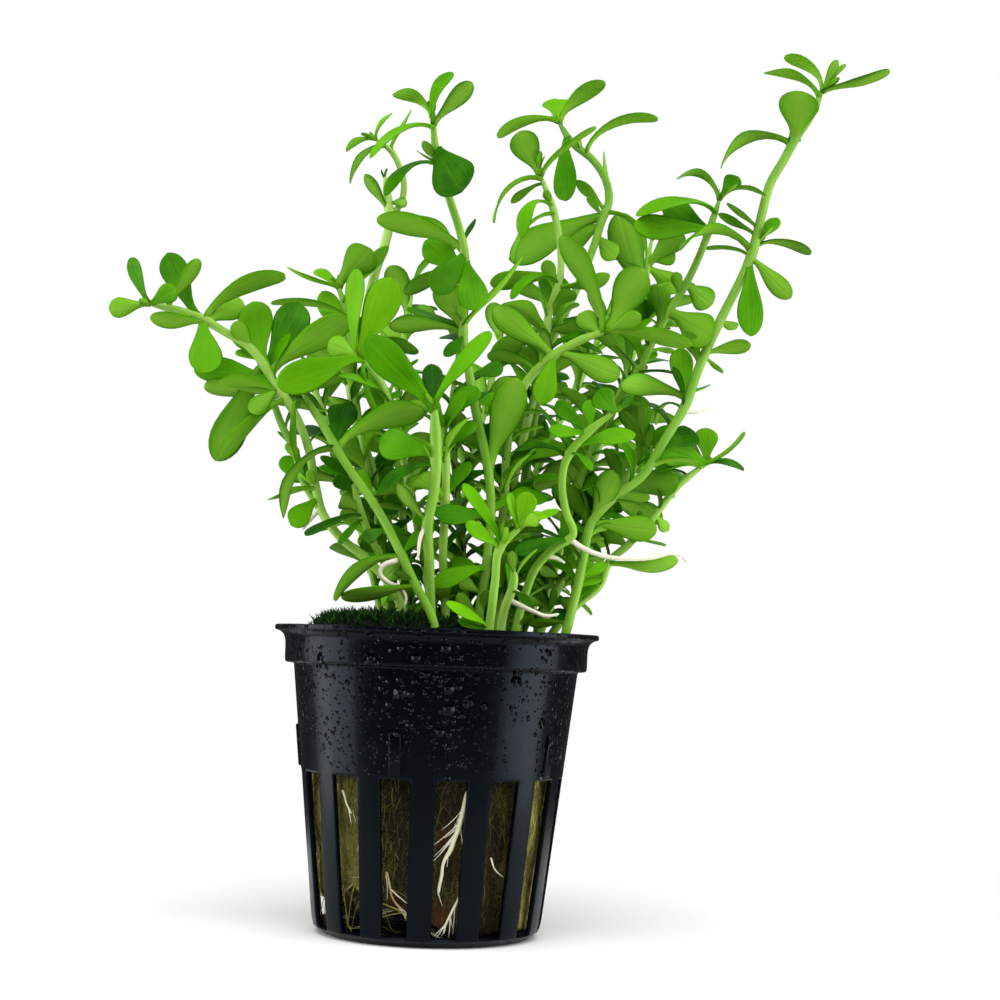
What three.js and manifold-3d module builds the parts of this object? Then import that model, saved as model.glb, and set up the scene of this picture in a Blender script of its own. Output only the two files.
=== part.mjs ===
// Compact water hyssop rooted in mineral wool in a slotted net pot.
// Millimetres, +Z up, origin at the middle of the pot's underside.
import * as THREE from "three";
import { mergeVertices } from "three/addons/utils/BufferGeometryUtils.js";
import Module from "manifold-3d";

const wasm = await Module();
wasm.setup();

// Pot: a 5 cm net pot with fifteen slots
const RIM_RADIUS = 27.5;
const POT_HEIGHT = 50.75;
const LIP_THICKNESS = 0.9;
const COLLAR_RADIUS = 25.6;
const COLLAR_FOOT = 44.4;
const WALL_TOP_RADIUS = 24.05;
const WALL_FOOT_RADIUS = 19.04;
const BASE_EDGE_RADIUS = 17.3;
const WALL_THICKNESS = 1.0;
const FLOOR_THICKNESS = 1.3;
const FLOOR_DISC_RADIUS = 7;
const SLOT_COUNT = 15;
const SLOT_TOP = 26.6;
const SLAT_WIDTH = 4.1;
const FIRST_SLOT_DEGREES = 8.6;
const POT_SIDES = 30;
const FOOT_BEND_HEIGHT = 2.5;
const FOOT_BEND_INSET = 0.35;
const STEP_RISE = 1.2;
const LUG_COUNT = 5;
const LUG_WIDTH = 2;
const LUG_HEIGHT = 7;
const LUG_FOOT = 27.2;
const LUG_RELIEF = 0.35;

// Mineral wool plug and the moss on it
const WOOL_TOP = 47;
const WOOL_CLEARANCE = 0.4;
const WOOL_SIDES = 24;
const MOSS_CENTRE = [-8, -4];
const MOSS_REACH = [14.2, 14.6];
const MOSS_TOP = 54;
const MOSS_SIDES = 14;
const MOSS_LEVELS = [[0, 0.94], [0.55, 1], [0.86, 0.93], [1, 0.6]];
const SLOT_ROOT_RADIUS = 0.45;
const AIR_ROOT_RADIUS = 0.5;
const ROOT_SIDES = 4;

// Shoots
const GAP = 0.3;
const SMOOTHING = 0.02;
const STEM_SIDES = 5;
const LEAF_LENGTH = 12.5;
const LEAF_ASPECT = 0.42;
const LEAF_THICKNESS = 0.8;
const LEAF_HEEL = 0.8;
const FULL_OUTLINE = [[0.45, 0.7], [0.84, 0.92]];
const PLAIN_OUTLINE = [[0.68, 0.95]];
const LEAST_ASPECT = 0.34;
const LEAF_SHIFTS = [0, 1.5, -1.5, 3, -3, 5, -5, 7, -7, 9, -9];

// Leaves in crosswise pairs: angles in degrees, and lengths as shares of the leaf's own
const FIRST_PAIR_TURN = 45;
const TURN_RANGE = 30;
const DEGREES_PER_SHIFT = 9;
const SPREAD = 54;
const SPREAD_RANGE = 36;
const TIP_CLOSING = 20;
const TIP_SHORTENING = 0.25;
const LENGTH_RANGE = 0.36;
const ROLL_RANGE = 80;
const DROOP = 0.12;
const PAIR_ARCH = 0.09;

// Viewpoint of the photograph, for places read from it in its 1000 x 1000 frame
const VIEW = {
  distance: 326.6, height: 46.45, focal: 1916, centre: 500, yaw: 0.03, pitch: 0.082, roll: 0.037,
};
const PIXEL_MM = VIEW.distance / VIEW.focal;

const degrees = THREE.MathUtils.degToRad;
const point = (x, y, z) => new THREE.Vector3(x, y, z);
const UP = point(0, 0, 1);
const BACK = point(0, 1, 0);

const eye = point(0, -VIEW.distance, VIEW.height);
const ahead = point(
  Math.sin(VIEW.yaw) * Math.cos(VIEW.pitch),
  Math.cos(VIEW.yaw) * Math.cos(VIEW.pitch),
  Math.sin(VIEW.pitch),
);
const level = point(Math.cos(VIEW.yaw), -Math.sin(VIEW.yaw), 0);
const above = level.clone().cross(ahead);
const across = level.clone().multiplyScalar(Math.cos(VIEW.roll)).addScaledVector(above, Math.sin(VIEW.roll));
const upward = above.clone().multiplyScalar(Math.cos(VIEW.roll)).addScaledVector(level, -Math.sin(VIEW.roll));

// The point that shows at pixel (u, v) and stands at depth y behind the pot's axis
function traced(u, v, y) {
  const ray = ahead.clone()
    .addScaledVector(across, (u - VIEW.centre) / VIEW.focal)
    .addScaledVector(upward, (VIEW.centre - v) / VIEW.focal);
  return eye.clone().addScaledVector(ray, (y + VIEW.distance) / ray.y);
}

// Each shoot: where its stem runs in the photograph from foot to tip, how deep the foot and the
// tip stand, its thickness at foot and tip, and its leaves.
// A leaf is [base u, base v, tip u, tip v, width in pixels, depth of the tip past the base, arch].
// pairs is [first, last, count]: leaf pairs set crosswise along those fractions of the stem.
const SHOOTS = {
  shoot_tall_right: {
    depth: [-5, -3], thick: [1.65, 1.55],
    stem: [[548, 690], [566, 632], [583, 560], [590, 526], [618, 494], [641, 477], [664, 441], [684, 408],
      [700, 365], [721, 319], [744, 273], [752, 254], [757, 235], [763, 209], [770, 184], [785, 158],
      [795, 139], [808, 120], [822, 92]],
    leaves: [
      [588, 524, 614, 471, 26, -3, 0.5], [592, 526, 657, 530, 26, -4, 0.6], [692, 402, 621, 383, 24, -4, 1.8],
      [692, 396, 709, 385, 3, 5, 0], [680, 408, 656, 425, 4, 3, 2.5], [706, 356, 751, 345, 15, -2, 0.5],
      [704, 358, 722, 373, 5, 4, 0], [719, 322, 737, 328, 10, 5, 0], [750, 252, 681, 250, 15, -3, 4.2],
      [748, 257, 706, 249, 4, 4, 0.8], [756, 249, 811, 254, 9, 2, 1.5], [759, 247, 778, 218, 14, 3, 0],
      [753, 260, 791, 298, 20, -2, -0.5], [749, 264, 750, 336, 26, -4, 0], [756, 237, 718, 214, 8, 2, 0],
      [758, 230, 727, 203, 7, -2, 0], [796, 142, 801, 91, 41, -5, 0], [790, 144, 721, 168, 16, -2, 4.2],
      [820, 92, 784, 57, 12, 2, 2], [818, 97, 764, 73, 12, -3, 1.8], [822, 92, 838, 60, 10, 0, 0],
      [823, 91, 844, 64, 6, 3, 0], [822, 92, 890, 71, 11, -2, -0.6], [579, 580, 606, 563, 12, 2, 0.3],
      [578, 590, 600, 579, 8, 2, 0.2], [568, 624, 528, 624, 9, 2, 0.2], [684, 406, 680, 348, 24, 4, 0.2],
    ],
    roots: [[[684, 411], [695, 412], [709, 408]]],
  },
  shoot_low_right: {
    depth: [2, 2], thick: [1.5, 1.2],
    stem: [[532, 690], [548, 640], [577, 605], [600, 585], [609, 562], [628, 545], [652, 519], [680, 484],
      [705, 464]],
    leaves: [
      [704, 463, 660, 446, 32, -5, 0], [702, 464, 672, 428, 22, 4, 0], [704, 462, 707, 428, 24, 3, 0],
      [706, 460, 745, 432, 4, -2, 0.5], [706, 464, 744, 469, 10, 3, 0.8], [700, 468, 655, 472, 7, -3, 0.8],
      [688, 477, 655, 489, 5, 3, 2.2], [654, 516, 668, 531, 12, 4, 0], [612, 566, 678, 559, 16, -3, -1.4],
      [634, 540, 666, 545, 3, 2, 0], [626, 547, 603, 528, 20, 3, 0],
    ],
  },
  shoot_curved: {
    depth: [-7, -16], thick: [1.5, 1.3],
    stem: [[507, 690], [514, 640], [524, 598], [537, 566], [556, 547], [573, 535], [566, 512], [562, 485],
      [566, 460], [586, 434], [614, 412]],
    leaves: [
      [566, 541, 515, 553, 15, -3, 0.5], [566, 458, 512, 452, 8, 2, 1.5], [574, 450, 635, 433, 17, 3, 0.3],
      [570, 455, 592, 471, 6, -3, 1], [586, 434, 549, 430, 13, -3, 0], [586, 432, 556, 402, 17, 4, 0.3],
      [590, 431, 588, 400, 14, 3, 0], [614, 412, 597, 391, 24, -4, 0.4], [612, 413, 634, 396, 8, 2, 0],
      [518, 629, 533, 616, 8, -3, 0.3], [533, 570, 527, 545, 10, 3, 0.3], [566, 452, 539, 406, 6, 4, 0.2],
    ],
    roots: [
      [[571, 540], [581, 547], [608, 557], [627, 559], [652, 558], [675, 554], [683, 557], [687, 563]],
      [[546, 556], [556, 558], [565, 563]],
    ],
  },
  shoot_right_behind: {
    depth: [7, -4], thick: [1.55, 1.2],
    stem: [[526, 690], [545, 600], [570, 510], [596, 440], [640, 367], [657, 333], [668, 314], [687, 282],
      [701, 252], [713, 219], [720, 198]],
    leaves: [
      [719, 200, 677, 179, 12, -3, 3.2], [720, 198, 737, 176, 19, 3, 0], [720, 200, 766, 196, 6, -2, 1.8],
      [714, 212, 636, 216, 10, -3, 2], [708, 232, 634, 226, 25, -4, 0], [707, 232, 664, 201, 26, 4, 0],
      [703, 242, 702, 221, 10, 4, 0], [684, 300, 676, 272, 12, -3, 0], [686, 286, 712, 305, 26, 3, 0],
      [668, 313, 712, 338, 38, -7, 0], [663, 325, 668, 302, 9, 3, 0.8], [659, 331, 636, 335, 5, -3, 2.3],
      [641, 368, 652, 346, 20, 4, 0],
    ],
    pairs: [0.3, 0.52, 3],
  },
  shoot_right_far: {
    depth: [12, 24], thick: [1.4, 1.15],
    stem: [[522, 690], [545, 600], [577, 500], [610, 420], [634, 350], [645, 300], [647, 266], [652, 238]],
    leaves: [
      [648, 262, 675, 252, 24, -2, 0], [647, 268, 681, 290, 24, 2, 0], [652, 240, 668, 214, 14, 3, 0],
      [640, 304, 618, 213, 37, -6, 0.3],
    ],
    pairs: [0.3, 0.85, 6],
  },
  shoot_middle_right: {
    depth: [-2, -6.5], thick: [1.55, 1.5],
    stem: [[497, 690], [499, 600], [504, 500], [512, 420], [526, 383], [556, 354], [581, 340], [606, 331]],
    leaves: [
      [601, 332, 561, 235, 22, -2, 1.2], [606, 331, 692, 344, 17, -4, 0.1], [551, 356, 494, 308, 27, -3, 1.5],
      [558, 354, 620, 376, 26, -3, -0.3], [606, 331, 642, 268, 36, -3, 0.4], [606, 331, 641, 315, 18, -5, 0],
      [598, 334, 580, 313, 22, 3, 0], [604, 332, 656, 304, 22, 5, 0], [516, 412, 500, 378, 26, -2, 0.4],
      [553, 357, 541, 404, 24, -2, 0.4], [548, 359, 537, 345, 11, 2, 0.3], [536, 371, 487, 356, 14, 3, 1],
    ],
    pairs: [0.16, 0.3, 2],
  },
  shoot_right_top: {
    depth: [9, 12], thick: [1.55, 1.3],
    stem: [[504, 690], [512, 600], [522, 500], [534, 420], [550, 345], [572, 299], [595, 243], [604, 214],
      [609, 203], [606, 181], [591, 158], [573, 144], [558, 121]],
    leaves: [
      [560, 124, 605, 82, 19, -2, 2], [558, 121, 556, 99, 31, 6, 0], [558, 122, 497, 136, 14, -2, 1.4],
      [586, 154, 658, 119, 11, -3, 2.6], [566, 138, 565, 201, 24, -4, 0], [602, 218, 509, 258, 35, -4, 1],
      [605, 210, 604, 152, 6, 3, 0], [604, 212, 577, 180, 12, -3, 0], [602, 218, 588, 197, 8, -3, 0],
      [600, 228, 562, 240, 30, 5, 0], [598, 238, 616, 258, 22, 5, 0], [608, 214, 645, 266, 9, -2, 3.2],
    ],
    pairs: [0.2, 0.36, 3],
  },
  shoot_centre_top: {
    depth: [2, -2], thick: [1.5, 1.2],
    stem: [[485, 690], [494, 600], [510, 500], [528, 420], [546, 352], [548, 317], [560, 277], [555, 216],
      [541, 176]],
    leaves: [
      [541, 176, 518, 132, 30, -3, 0.3], [541, 176, 596, 127, 7, -3, 0.5], [542, 179, 494, 223, 4, -2, 2.5],
      [544, 184, 511, 203, 8, 2, 0.5], [553, 206, 522, 238, 11, -4, 3.2], [554, 214, 513, 262, 4, -2, 2],
      [559, 280, 490, 284, 18, 3, 0.5], [558, 284, 511, 299, 8, -3, 2.5], [556, 294, 546, 260, 15, -3, 0.5],
      [557, 288, 610, 275, 14, -2, -1], [549, 322, 538, 286, 4, -3, 0], [548, 326, 491, 357, 22, 3, 0.3],
      [513, 484, 512, 452, 15, -2, 0.3], [509, 486, 534, 484, 14, -5, 1.2], [508, 490, 531, 497, 13, -3, 0.5],
    ],
    pairs: [0.3, 0.55, 3],
  },
  shoot_centre: {
    depth: [-4, -18], thick: [1.65, 1.3],
    stem: [[470, 690], [478, 620], [487, 560], [491, 504], [484, 447], [476, 413], [469, 372], [463, 333],
      [465, 300], [464, 250], [448, 194], [437, 160], [433, 121]],
    leaves: [
      [434, 124, 452, 72, 13, 0, 1.6], [434, 126, 472, 82, 18, -3, 0], [433, 122, 393, 94, 13, -2, 2.6],
      [433, 128, 370, 158, 7, -3, 1.8], [433, 122, 430, 100, 10, 2, 0], [437, 164, 427, 150, 5, 3, 0],
      [438, 166, 385, 196, 8, -3, 2.2], [440, 150, 463, 191, 44, -7, 0.3], [463, 245, 475, 219, 6, 2, 0],
      [464, 252, 377, 218, 24, -3, 1.2], [464, 256, 433, 292, 28, -3, 0.8], [464, 262, 476, 310, 30, -6, 0],
      [464, 270, 404, 293, 16, 2, 0.8], [463, 332, 441, 281, 28, -3, 0], [463, 334, 389, 325, 17, -2, 0.6],
      [463, 330, 407, 308, 8, 3, 0], [464, 338, 444, 356, 12, -3, 1], [464, 326, 522, 257, 7, -3, -0.6],
      [488, 472, 517, 378, 34, -4, 0.3], [488, 472, 452, 480, 16, 2, 1], [490, 518, 435, 514, 20, -5, 0.3],
      [488, 571, 433, 586, 18, -4, 1.5], [479, 616, 489, 591, 12, -3, 0.3], [478, 619, 457, 594, 14, -3, 0.5],
      [483, 596, 460, 580, 15, -3, 0.3], [470, 378, 503, 366, 16, 3, 0.5], [474, 405, 498, 398, 16, 3, 0.4],
      [462, 276, 426, 240, 30, 4, 0.3],
    ],
  },
  shoot_left_behind: {
    depth: [5, 12], thick: [1.65, 1.65],
    stem: [[425, 690], [415, 630], [398, 560], [372, 470], [352, 400], [350, 370], [362, 330], [374, 277],
      [389, 225], [385, 177]],
    leaves: [
      [389, 220, 455, 248, 19, -3, 2.6], [388, 214, 365, 174, 12, -2, 0], [386, 204, 407, 202, 11, -3, 0.3],
    ],
    pairs: [0.3, 0.6, 4],
  },
  branch_left_behind: {
    fork: "shoot_left_behind", depth: [12, 9], thick: [1.2, 1.05],
    stem: [[389, 216], [398, 208], [404, 188], [400, 168], [391, 151], [375, 139]],
    leaves: [
      [376, 140, 392, 113, 5, 2, 0.6], [375, 139, 361, 133, 4, -2, 0], [375, 140, 346, 150, 10, -3, 1],
      [384, 146, 350, 183, 10, -3, 1.5], [391, 151, 411, 110, 5, 3, 0],
    ],
  },
  shoot_far_left: {
    depth: [-6, -6], thick: [1.55, 1.4],
    stem: [[412, 690], [408, 640], [395, 592], [365, 558], [340, 537], [322, 512], [315, 484], [309, 450],
      [297, 418], [278, 388], [247, 345], [223, 331], [205, 320], [148, 303]],
    leaves: [
      [150, 304, 130, 258, 15, 2, 0], [150, 304, 109, 309, 20, -3, 0.8], [152, 304, 176, 288, 20, -5, 0],
      [168, 309, 199, 259, 16, -2, 0], [198, 318, 166, 254, 28, 3, 0.5], [206, 320, 285, 275, 22, -3, 2.2],
      [209, 322, 242, 300, 27, 4, 0], [206, 326, 150, 317, 17, -3, -0.9], [205, 320, 206, 373, 33, -6, 0],
      [272, 388, 195, 367, 27, 4, 0.5], [260, 364, 236, 351, 9, 3, 0], [282, 394, 219, 381, 12, -2, 0.8],
      [284, 397, 204, 387, 19, 2, 0.4], [284, 402, 221, 456, 16, -3, 0.8], [262, 368, 216, 461, 34, 4, 0.4],
      [264, 368, 252, 302, 35, 4, 0.4], [270, 376, 349, 318, 30, -4, 0.8], [252, 352, 234, 322, 18, -2, 0],
      [276, 392, 250, 412, 20, -3, 0], [318, 500, 290, 524, 22, -3, 0], [313, 491, 269, 499, 8, -3, 0.3],
      [398, 594, 383, 607, 5, -3, 1.5], [402, 600, 388, 597, 9, -3, 0.2], [270, 372, 300, 303, 36, 6, 0.3],
      [270, 360, 236, 328, 22, 5, 0.3],
    ],
    roots: [[[320, 508], [310, 520], [302, 530]]],
  },
  branch_left: {
    fork: "shoot_far_left", depth: [-6, -1], thick: [1.4, 1.2],
    stem: [[319, 507], [306, 486], [293, 447], [284, 430], [272, 400], [262, 380]],
    leaves: [
      [306, 484, 282, 457, 18, 3, 0], [300, 466, 294, 401, 9, -4, 0.5], [294, 450, 278, 431, 4, 2, 0],
      [263, 382, 238, 372, 12, 3, 0], [262, 381, 266, 354, 14, 4, 0],
    ],
  },
  shoot_front_left: {
    depth: [-14.5, -12], thick: [1.5, 1.4],
    stem: [[440, 690], [430, 612], [417, 588], [402, 556], [382, 517], [341, 456], [326, 430], [302, 392]],
    leaves: [
      [338, 450, 425, 410, 27, -3, 2.5], [336, 447, 283, 518, 12, -3, 3], [336, 446, 345, 403, 30, 5, 0.5],
      [403, 558, 334, 600, 16, -3, 2.5], [404, 560, 386, 578, 18, 4, 0], [416, 588, 341, 597, 15, 3, -0.3],
      [305, 394, 342, 378, 12, 1, 0.8], [402, 556, 424, 530, 12, 4, 0], [388, 530, 364, 538, 15, 5, 0.3],
    ],
    roots: [[[398, 560], [382, 567], [380, 573], [388, 582], [401, 588], [406, 596], [405, 607]]],
  },
  shoot_centre_front: {
    depth: [-9, -22], thick: [1.65, 1.9],
    stem: [[434, 690], [431, 620], [429, 560], [428, 521], [434, 491], [436, 452], [434, 406]],
    leaves: [
      [434, 410, 366, 337, 33, -4, 1.5], [435, 412, 400, 363, 14, 3, 0], [434, 407, 491, 332, 17, -3, 0.6],
      [436, 456, 380, 440, 32, 4, 1], [435, 466, 376, 494, 14, 3, 1.5], [428, 523, 397, 483, 13, -3, -0.5],
      [434, 406, 432, 364, 20, 4, 0],
    ],
    roots: [[[428, 524], [421, 536], [418, 558]]],
  },
  shoot_centre_short: {
    depth: [-3, -13], thick: [1.4, 1.4],
    stem: [[450, 690], [446, 620], [443, 556], [445, 506], [446, 463], [443, 425]],
    leaves: [
      [444, 540, 420, 560, 12, 3, 0.8], [445, 500, 470, 462, 13, 3, 0.3], [446, 611, 441, 581, 18, -5, 0.4],
      [445, 596, 468, 584, 12, -2, 0.4], [444, 437, 466, 391, 13, -2, 0.4], [447, 452, 477, 421, 13, 3, 0.3],
    ],
    pairs: [0.62, 1, 3],
  },
  shoot_front_bright: {
    depth: [-17, -26], thick: [1.5, 1.3],
    stem: [[478, 690], [491, 615], [495, 582], [500, 548], [521, 527]],
    leaves: [
      [519, 529, 529, 492, 20, -2, 0], [517, 531, 509, 493, 8, -2, 0], [521, 527, 538, 517, 14, -5, 0],
      [521, 527, 558, 509, 8, 3, 0], [500, 548, 463, 484, 13, -2, 0.6], [500, 550, 466, 523, 14, -4, 0.4],
      [489, 630, 446, 603, 11, -4, 0.2], [488, 632, 458, 620, 9, -1, 0],
    ],
  },
  shoot_front_low: {
    depth: [-12, -18], thick: [1.5, 1.4],
    stem: [[500, 690], [503, 615], [514, 578], [512, 560]],
    leaves: [
      [514, 576, 511, 551, 12, -4, 0], [514, 580, 537, 549, 5, -3, 0.5], [510, 592, 532, 606, 8, -3, 0.5],
      [506, 602, 509, 562, 10, 3, 0.3],
    ],
    roots: [[[509, 600], [530, 610], [548, 616], [559, 614]]],
  },
  shoot_right_inner: {
    depth: [-3, 4], thick: [1.4, 1.3],
    stem: [[524, 690], [545, 620], [572, 560], [600, 510], [628, 475], [645, 452]],
    leaves: [
      [642, 456, 632, 394, 34, -3, 0.3], [632, 470, 664, 489, 13, 3, 0], [612, 496, 650, 499, 12, 3, 0.5],
      [600, 510, 586, 470, 18, 4, 0], [644, 453, 668, 425, 12, 4, 0], [549, 611, 523, 599, 11, -4, 0.4],
      [547, 616, 556, 588, 9, -4, 0], [563, 580, 540, 569, 12, -3, 0.4], [561, 584, 573, 554, 10, -3, 0.3],
      [630, 473, 652, 424, 14, -1, 0.2],
    ],
    pairs: [0.5, 0.9, 3],
  },
  shoot_left_upper: {
    depth: [4, 7.5], thick: [1.4, 1.2],
    stem: [[398, 690], [396, 640], [384, 560], [368, 470], [356, 400], [352, 345], [346, 311], [337, 283]],
    leaves: [
      [338, 288, 287, 267, 4, -2, -0.6], [342, 292, 315, 270, 12, 3, 0.8], [338, 286, 370, 248, 35, -4, 0.4],
      [348, 318, 271, 303, 9, -3, 1.2], [352, 345, 321, 292, 24, 3, 0], [344, 304, 389, 246, 14, 3, 0.5],
    ],
    pairs: [0.3, 0.6, 3],
  },
  shoot_left_centre: {
    depth: [5, -12], thick: [1.4, 1.2],
    stem: [[440, 690], [430, 600], [412, 500], [396, 430], [378, 377], [359, 356]],
    leaves: [
      [359, 356, 357, 269, 17, -4, 0.3], [361, 357, 392, 278, 35, -3, 0.6], [360, 357, 328, 343, 23, -4, 0],
      [361, 358, 277, 385, 33, -4, 0.9], [364, 362, 381, 420, 7, -3, 0.8], [365, 372, 383, 408, 20, 3, 0.3],
    ],
    pairs: [0.4, 0.7, 3],
  },
  shoot_back_left: {
    depth: [9, 26], thick: [1.5, 1.15],
    stem: [[390, 690], [382, 620], [364, 540], [343, 470], [322, 410], [306, 366]],
    pairs: [0.32, 1, 7],
  },
  shoot_back_centre_left: {
    depth: [14, 30], thick: [1.5, 1.15],
    stem: [[415, 690], [412, 600], [402, 510], [398, 420], [404, 340], [412, 292]],
    pairs: [0.3, 1, 8],
  },
  shoot_back_centre: {
    depth: [17, 40], thick: [1.5, 1.15],
    stem: [[452, 690], [455, 600], [464, 500], [482, 420], [500, 345]],
    pairs: [0.3, 1, 7],
  },
  shoot_back_right: {
    depth: [16, 36], thick: [1.5, 1.15],
    stem: [[484, 690], [498, 600], [525, 500], [560, 420], [590, 360], [606, 318]],
    pairs: [0.3, 1, 8],
  },
  shoot_back_low_right: {
    depth: [12, 30], thick: [1.4, 1.15],
    stem: [[506, 690], [532, 610], [568, 550], [606, 500], [640, 468]],
    pairs: [0.34, 1, 6],
  },
  shoot_left_low: {
    depth: [0.8, 1.2], thick: [1.4, 1.15],
    stem: [[384, 690], [386, 640], [388, 600], [385, 565], [379, 530], [376, 496]],
    leaves: [
      [384, 556, 362, 533, 22, -2, 0.3], [379, 524, 354, 500, 20, 3, 0.3], [378, 520, 399, 496, 20, 2, 0.3],
      [386, 576, 406, 548, 18, 2, 0.3], [376, 497, 394, 468, 20, 2, 0.3], [376, 497, 356, 472, 18, 3, 0.3],
    ],
  },
  shoot_front_inner: {
    depth: [-2, -8], thick: [1.4, 1.2],
    stem: [[426, 690], [412, 630], [396, 590], [381, 556], [371, 538], [362, 515], [352, 480]],
    leaves: [
      [362, 516, 305, 535, 7, -5, 0.3], [362, 520, 339, 545, 8, -4, 0.2], [364, 512, 341, 498, 19, -4, 0.6],
      [356, 496, 336, 476, 17, 3, 0.3], [352, 484, 321, 456, 11, 1, 0.4], [398, 594, 420, 566, 18, 2, 0.3],
    ],
  },
  shoot_middle: {
    depth: [5, 7], thick: [1.4, 1.2],
    stem: [[464, 690], [466, 620], [462, 550], [456, 480], [452, 420], [455, 372]],
    pairs: [0.4, 1, 5],
  },
};

// Roots that lie on the wool behind the slots
const SLOT_ROOTS = {
  root_main: [[469, 790], [457, 830], [447, 854], [437, 895]],
  root_main_lower: [[463, 880], [458, 900], [451, 912], [443, 934]],
  root_left: [[342, 790], [351, 814]],
  root_middle: [[385, 872], [394, 900], [410, 922]],
  root_right: [[490, 858], [494, 868], [503, 878]],
};

// Solid from a closed geometry: shared vertices merged, empty triangles dropped
function solidOf(geometry) {
  const bare = geometry.index ? geometry.clone() : geometry;
  bare.deleteAttribute("normal");
  bare.deleteAttribute("uv");
  const merged = mergeVertices(bare, 1e-4);
  const corners = merged.index.array;
  const kept = [];
  for (let i = 0; i < corners.length; i += 3) {
    const [a, b, c] = [corners[i], corners[i + 1], corners[i + 2]];
    if (a !== b && b !== c && c !== a) kept.push(a, b, c);
  }
  return new wasm.Manifold(new wasm.Mesh({
    numProp: 3,
    vertProperties: new Float32Array(merged.attributes.position.array),
    triVerts: new Uint32Array(kept),
  }));
}

// One body from pieces that overlap; crumbs and closed pockets left at the joins are dropped
function fused(parts) {
  const bodies = wasm.Manifold.union(parts).asOriginal().simplify(SMOOTHING).decompose();
  return bodies.reduce((largest, body) => (body.volume() > largest.volume() ? body : largest));
}

function meshOf(name, solid, look) {
  const { vertProperties, triVerts } = solid.getMesh();
  const geometry = new THREE.BufferGeometry();
  geometry.setAttribute("position", new THREE.BufferAttribute(new Float32Array(vertProperties), 3));
  geometry.setIndex(new THREE.BufferAttribute(new Uint32Array(triVerts), 1));
  geometry.computeVertexNormals();
  const mesh = new THREE.Mesh(geometry, new THREE.MeshStandardMaterial({ metalness: 0, ...look }));
  mesh.name = name;
  return mesh;
}

// Closed skin over rings of equal count, each seen anticlockwise from the far end
function skin(rings) {
  const size = rings[0].length;
  const positions = rings.flat().flatMap((corner) => corner.toArray());
  const faces = [];
  for (let ring = 0; ring + 1 < rings.length; ring += 1) {
    for (let side = 0; side < size; side += 1) {
      const a = ring * size + side;
      const b = ring * size + (side + 1) % size;
      faces.push(a, b, b + size, a, b + size, a + size);
    }
  }
  const last = (rings.length - 1) * size;
  for (let side = 1; side + 1 < size; side += 1) {
    faces.push(0, side + 1, side);
    faces.push(last, last + side, last + side + 1);
  }
  const geometry = new THREE.BufferGeometry();
  geometry.setAttribute("position", new THREE.Float32BufferAttribute(positions, 3));
  geometry.setIndex(faces);
  return geometry;
}

// Solid tube along a line of points whose radius runs from first to last
function tube(line, firstRadius, lastRadius, sides) {
  let side = point(1, 0, 0);
  const rings = line.map((centre, i) => {
    const along = line[Math.min(i + 1, line.length - 1)].clone().sub(line[Math.max(i - 1, 0)]).normalize();
    side = side.clone().addScaledVector(along, -side.dot(along)).normalize();
    const front = along.clone().cross(side);
    const radius = THREE.MathUtils.lerp(firstRadius, lastRadius, i / (line.length - 1));
    return Array.from({ length: sides }, (_, k) => {
      const turn = (2 * Math.PI * k) / sides;
      return centre.clone()
        .addScaledVector(side, radius * Math.cos(turn))
        .addScaledVector(front, radius * Math.sin(turn));
    });
  });
  return solidOf(skin(rings));
}

function wallRadius(z) {
  return THREE.MathUtils.lerp(WALL_FOOT_RADIUS, WALL_TOP_RADIUS, z / COLLAR_FOOT);
}

function potShell() {
  const lipUnder = POT_HEIGHT - LIP_THICKNESS;
  const inner = COLLAR_RADIUS - WALL_THICKNESS;
  const profile = [
    [0, 0],
    [BASE_EDGE_RADIUS, 0],
    [wallRadius(FOOT_BEND_HEIGHT) - FOOT_BEND_INSET, FLOOR_THICKNESS],
    [wallRadius(FOOT_BEND_HEIGHT), FOOT_BEND_HEIGHT],
    [wallRadius(COLLAR_FOOT), COLLAR_FOOT],
    [COLLAR_RADIUS, COLLAR_FOOT],
    [COLLAR_RADIUS, lipUnder - STEP_RISE],
    [RIM_RADIUS, lipUnder],
    [RIM_RADIUS, POT_HEIGHT],
    [inner, POT_HEIGHT],
    [inner, COLLAR_FOOT + STEP_RISE],
    [wallRadius(COLLAR_FOOT) - WALL_THICKNESS, COLLAR_FOOT],
    [wallRadius(FLOOR_THICKNESS) - WALL_THICKNESS, FLOOR_THICKNESS],
    [0, FLOOR_THICKNESS],
  ];
  const lathe = new THREE.LatheGeometry(profile.map(([r, z]) => new THREE.Vector2(r, z)), POT_SIDES);
  lathe.rotateX(Math.PI / 2);
  lathe.rotateZ(degrees(FIRST_SLOT_DEGREES));
  return solidOf(lathe);
}

// Block of an outline (across, up) that runs outward from one radius to another, facing -Y
function radialBlock(outline, from, to, turn) {
  const shape = new THREE.Shape(outline.map(([x, z]) => new THREE.Vector2(x, z)));
  const block = new THREE.ExtrudeGeometry(shape, { depth: to - from, bevelEnabled: false });
  block.rotateX(Math.PI / 2);
  block.translate(0, -from, 0);
  block.rotateZ(degrees(turn));
  return solidOf(block);
}

const slotTurn = (slot) => FIRST_SLOT_DEGREES + (360 / SLOT_COUNT) * slot;
const slotWidth = (radius) => (2 * Math.PI * radius) / SLOT_COUNT - SLAT_WIDTH;

function wallSlot(slot) {
  const top = slotWidth(wallRadius(SLOT_TOP)) / 2;
  const foot = slotWidth(wallRadius(FLOOR_THICKNESS)) / 2;
  const outline = [[-foot, FLOOR_THICKNESS], [foot, FLOOR_THICKNESS], [top, SLOT_TOP], [-top, SLOT_TOP]];
  return radialBlock(outline, BASE_EDGE_RADIUS - 2.2, RIM_RADIUS, slotTurn(slot));
}

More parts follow.
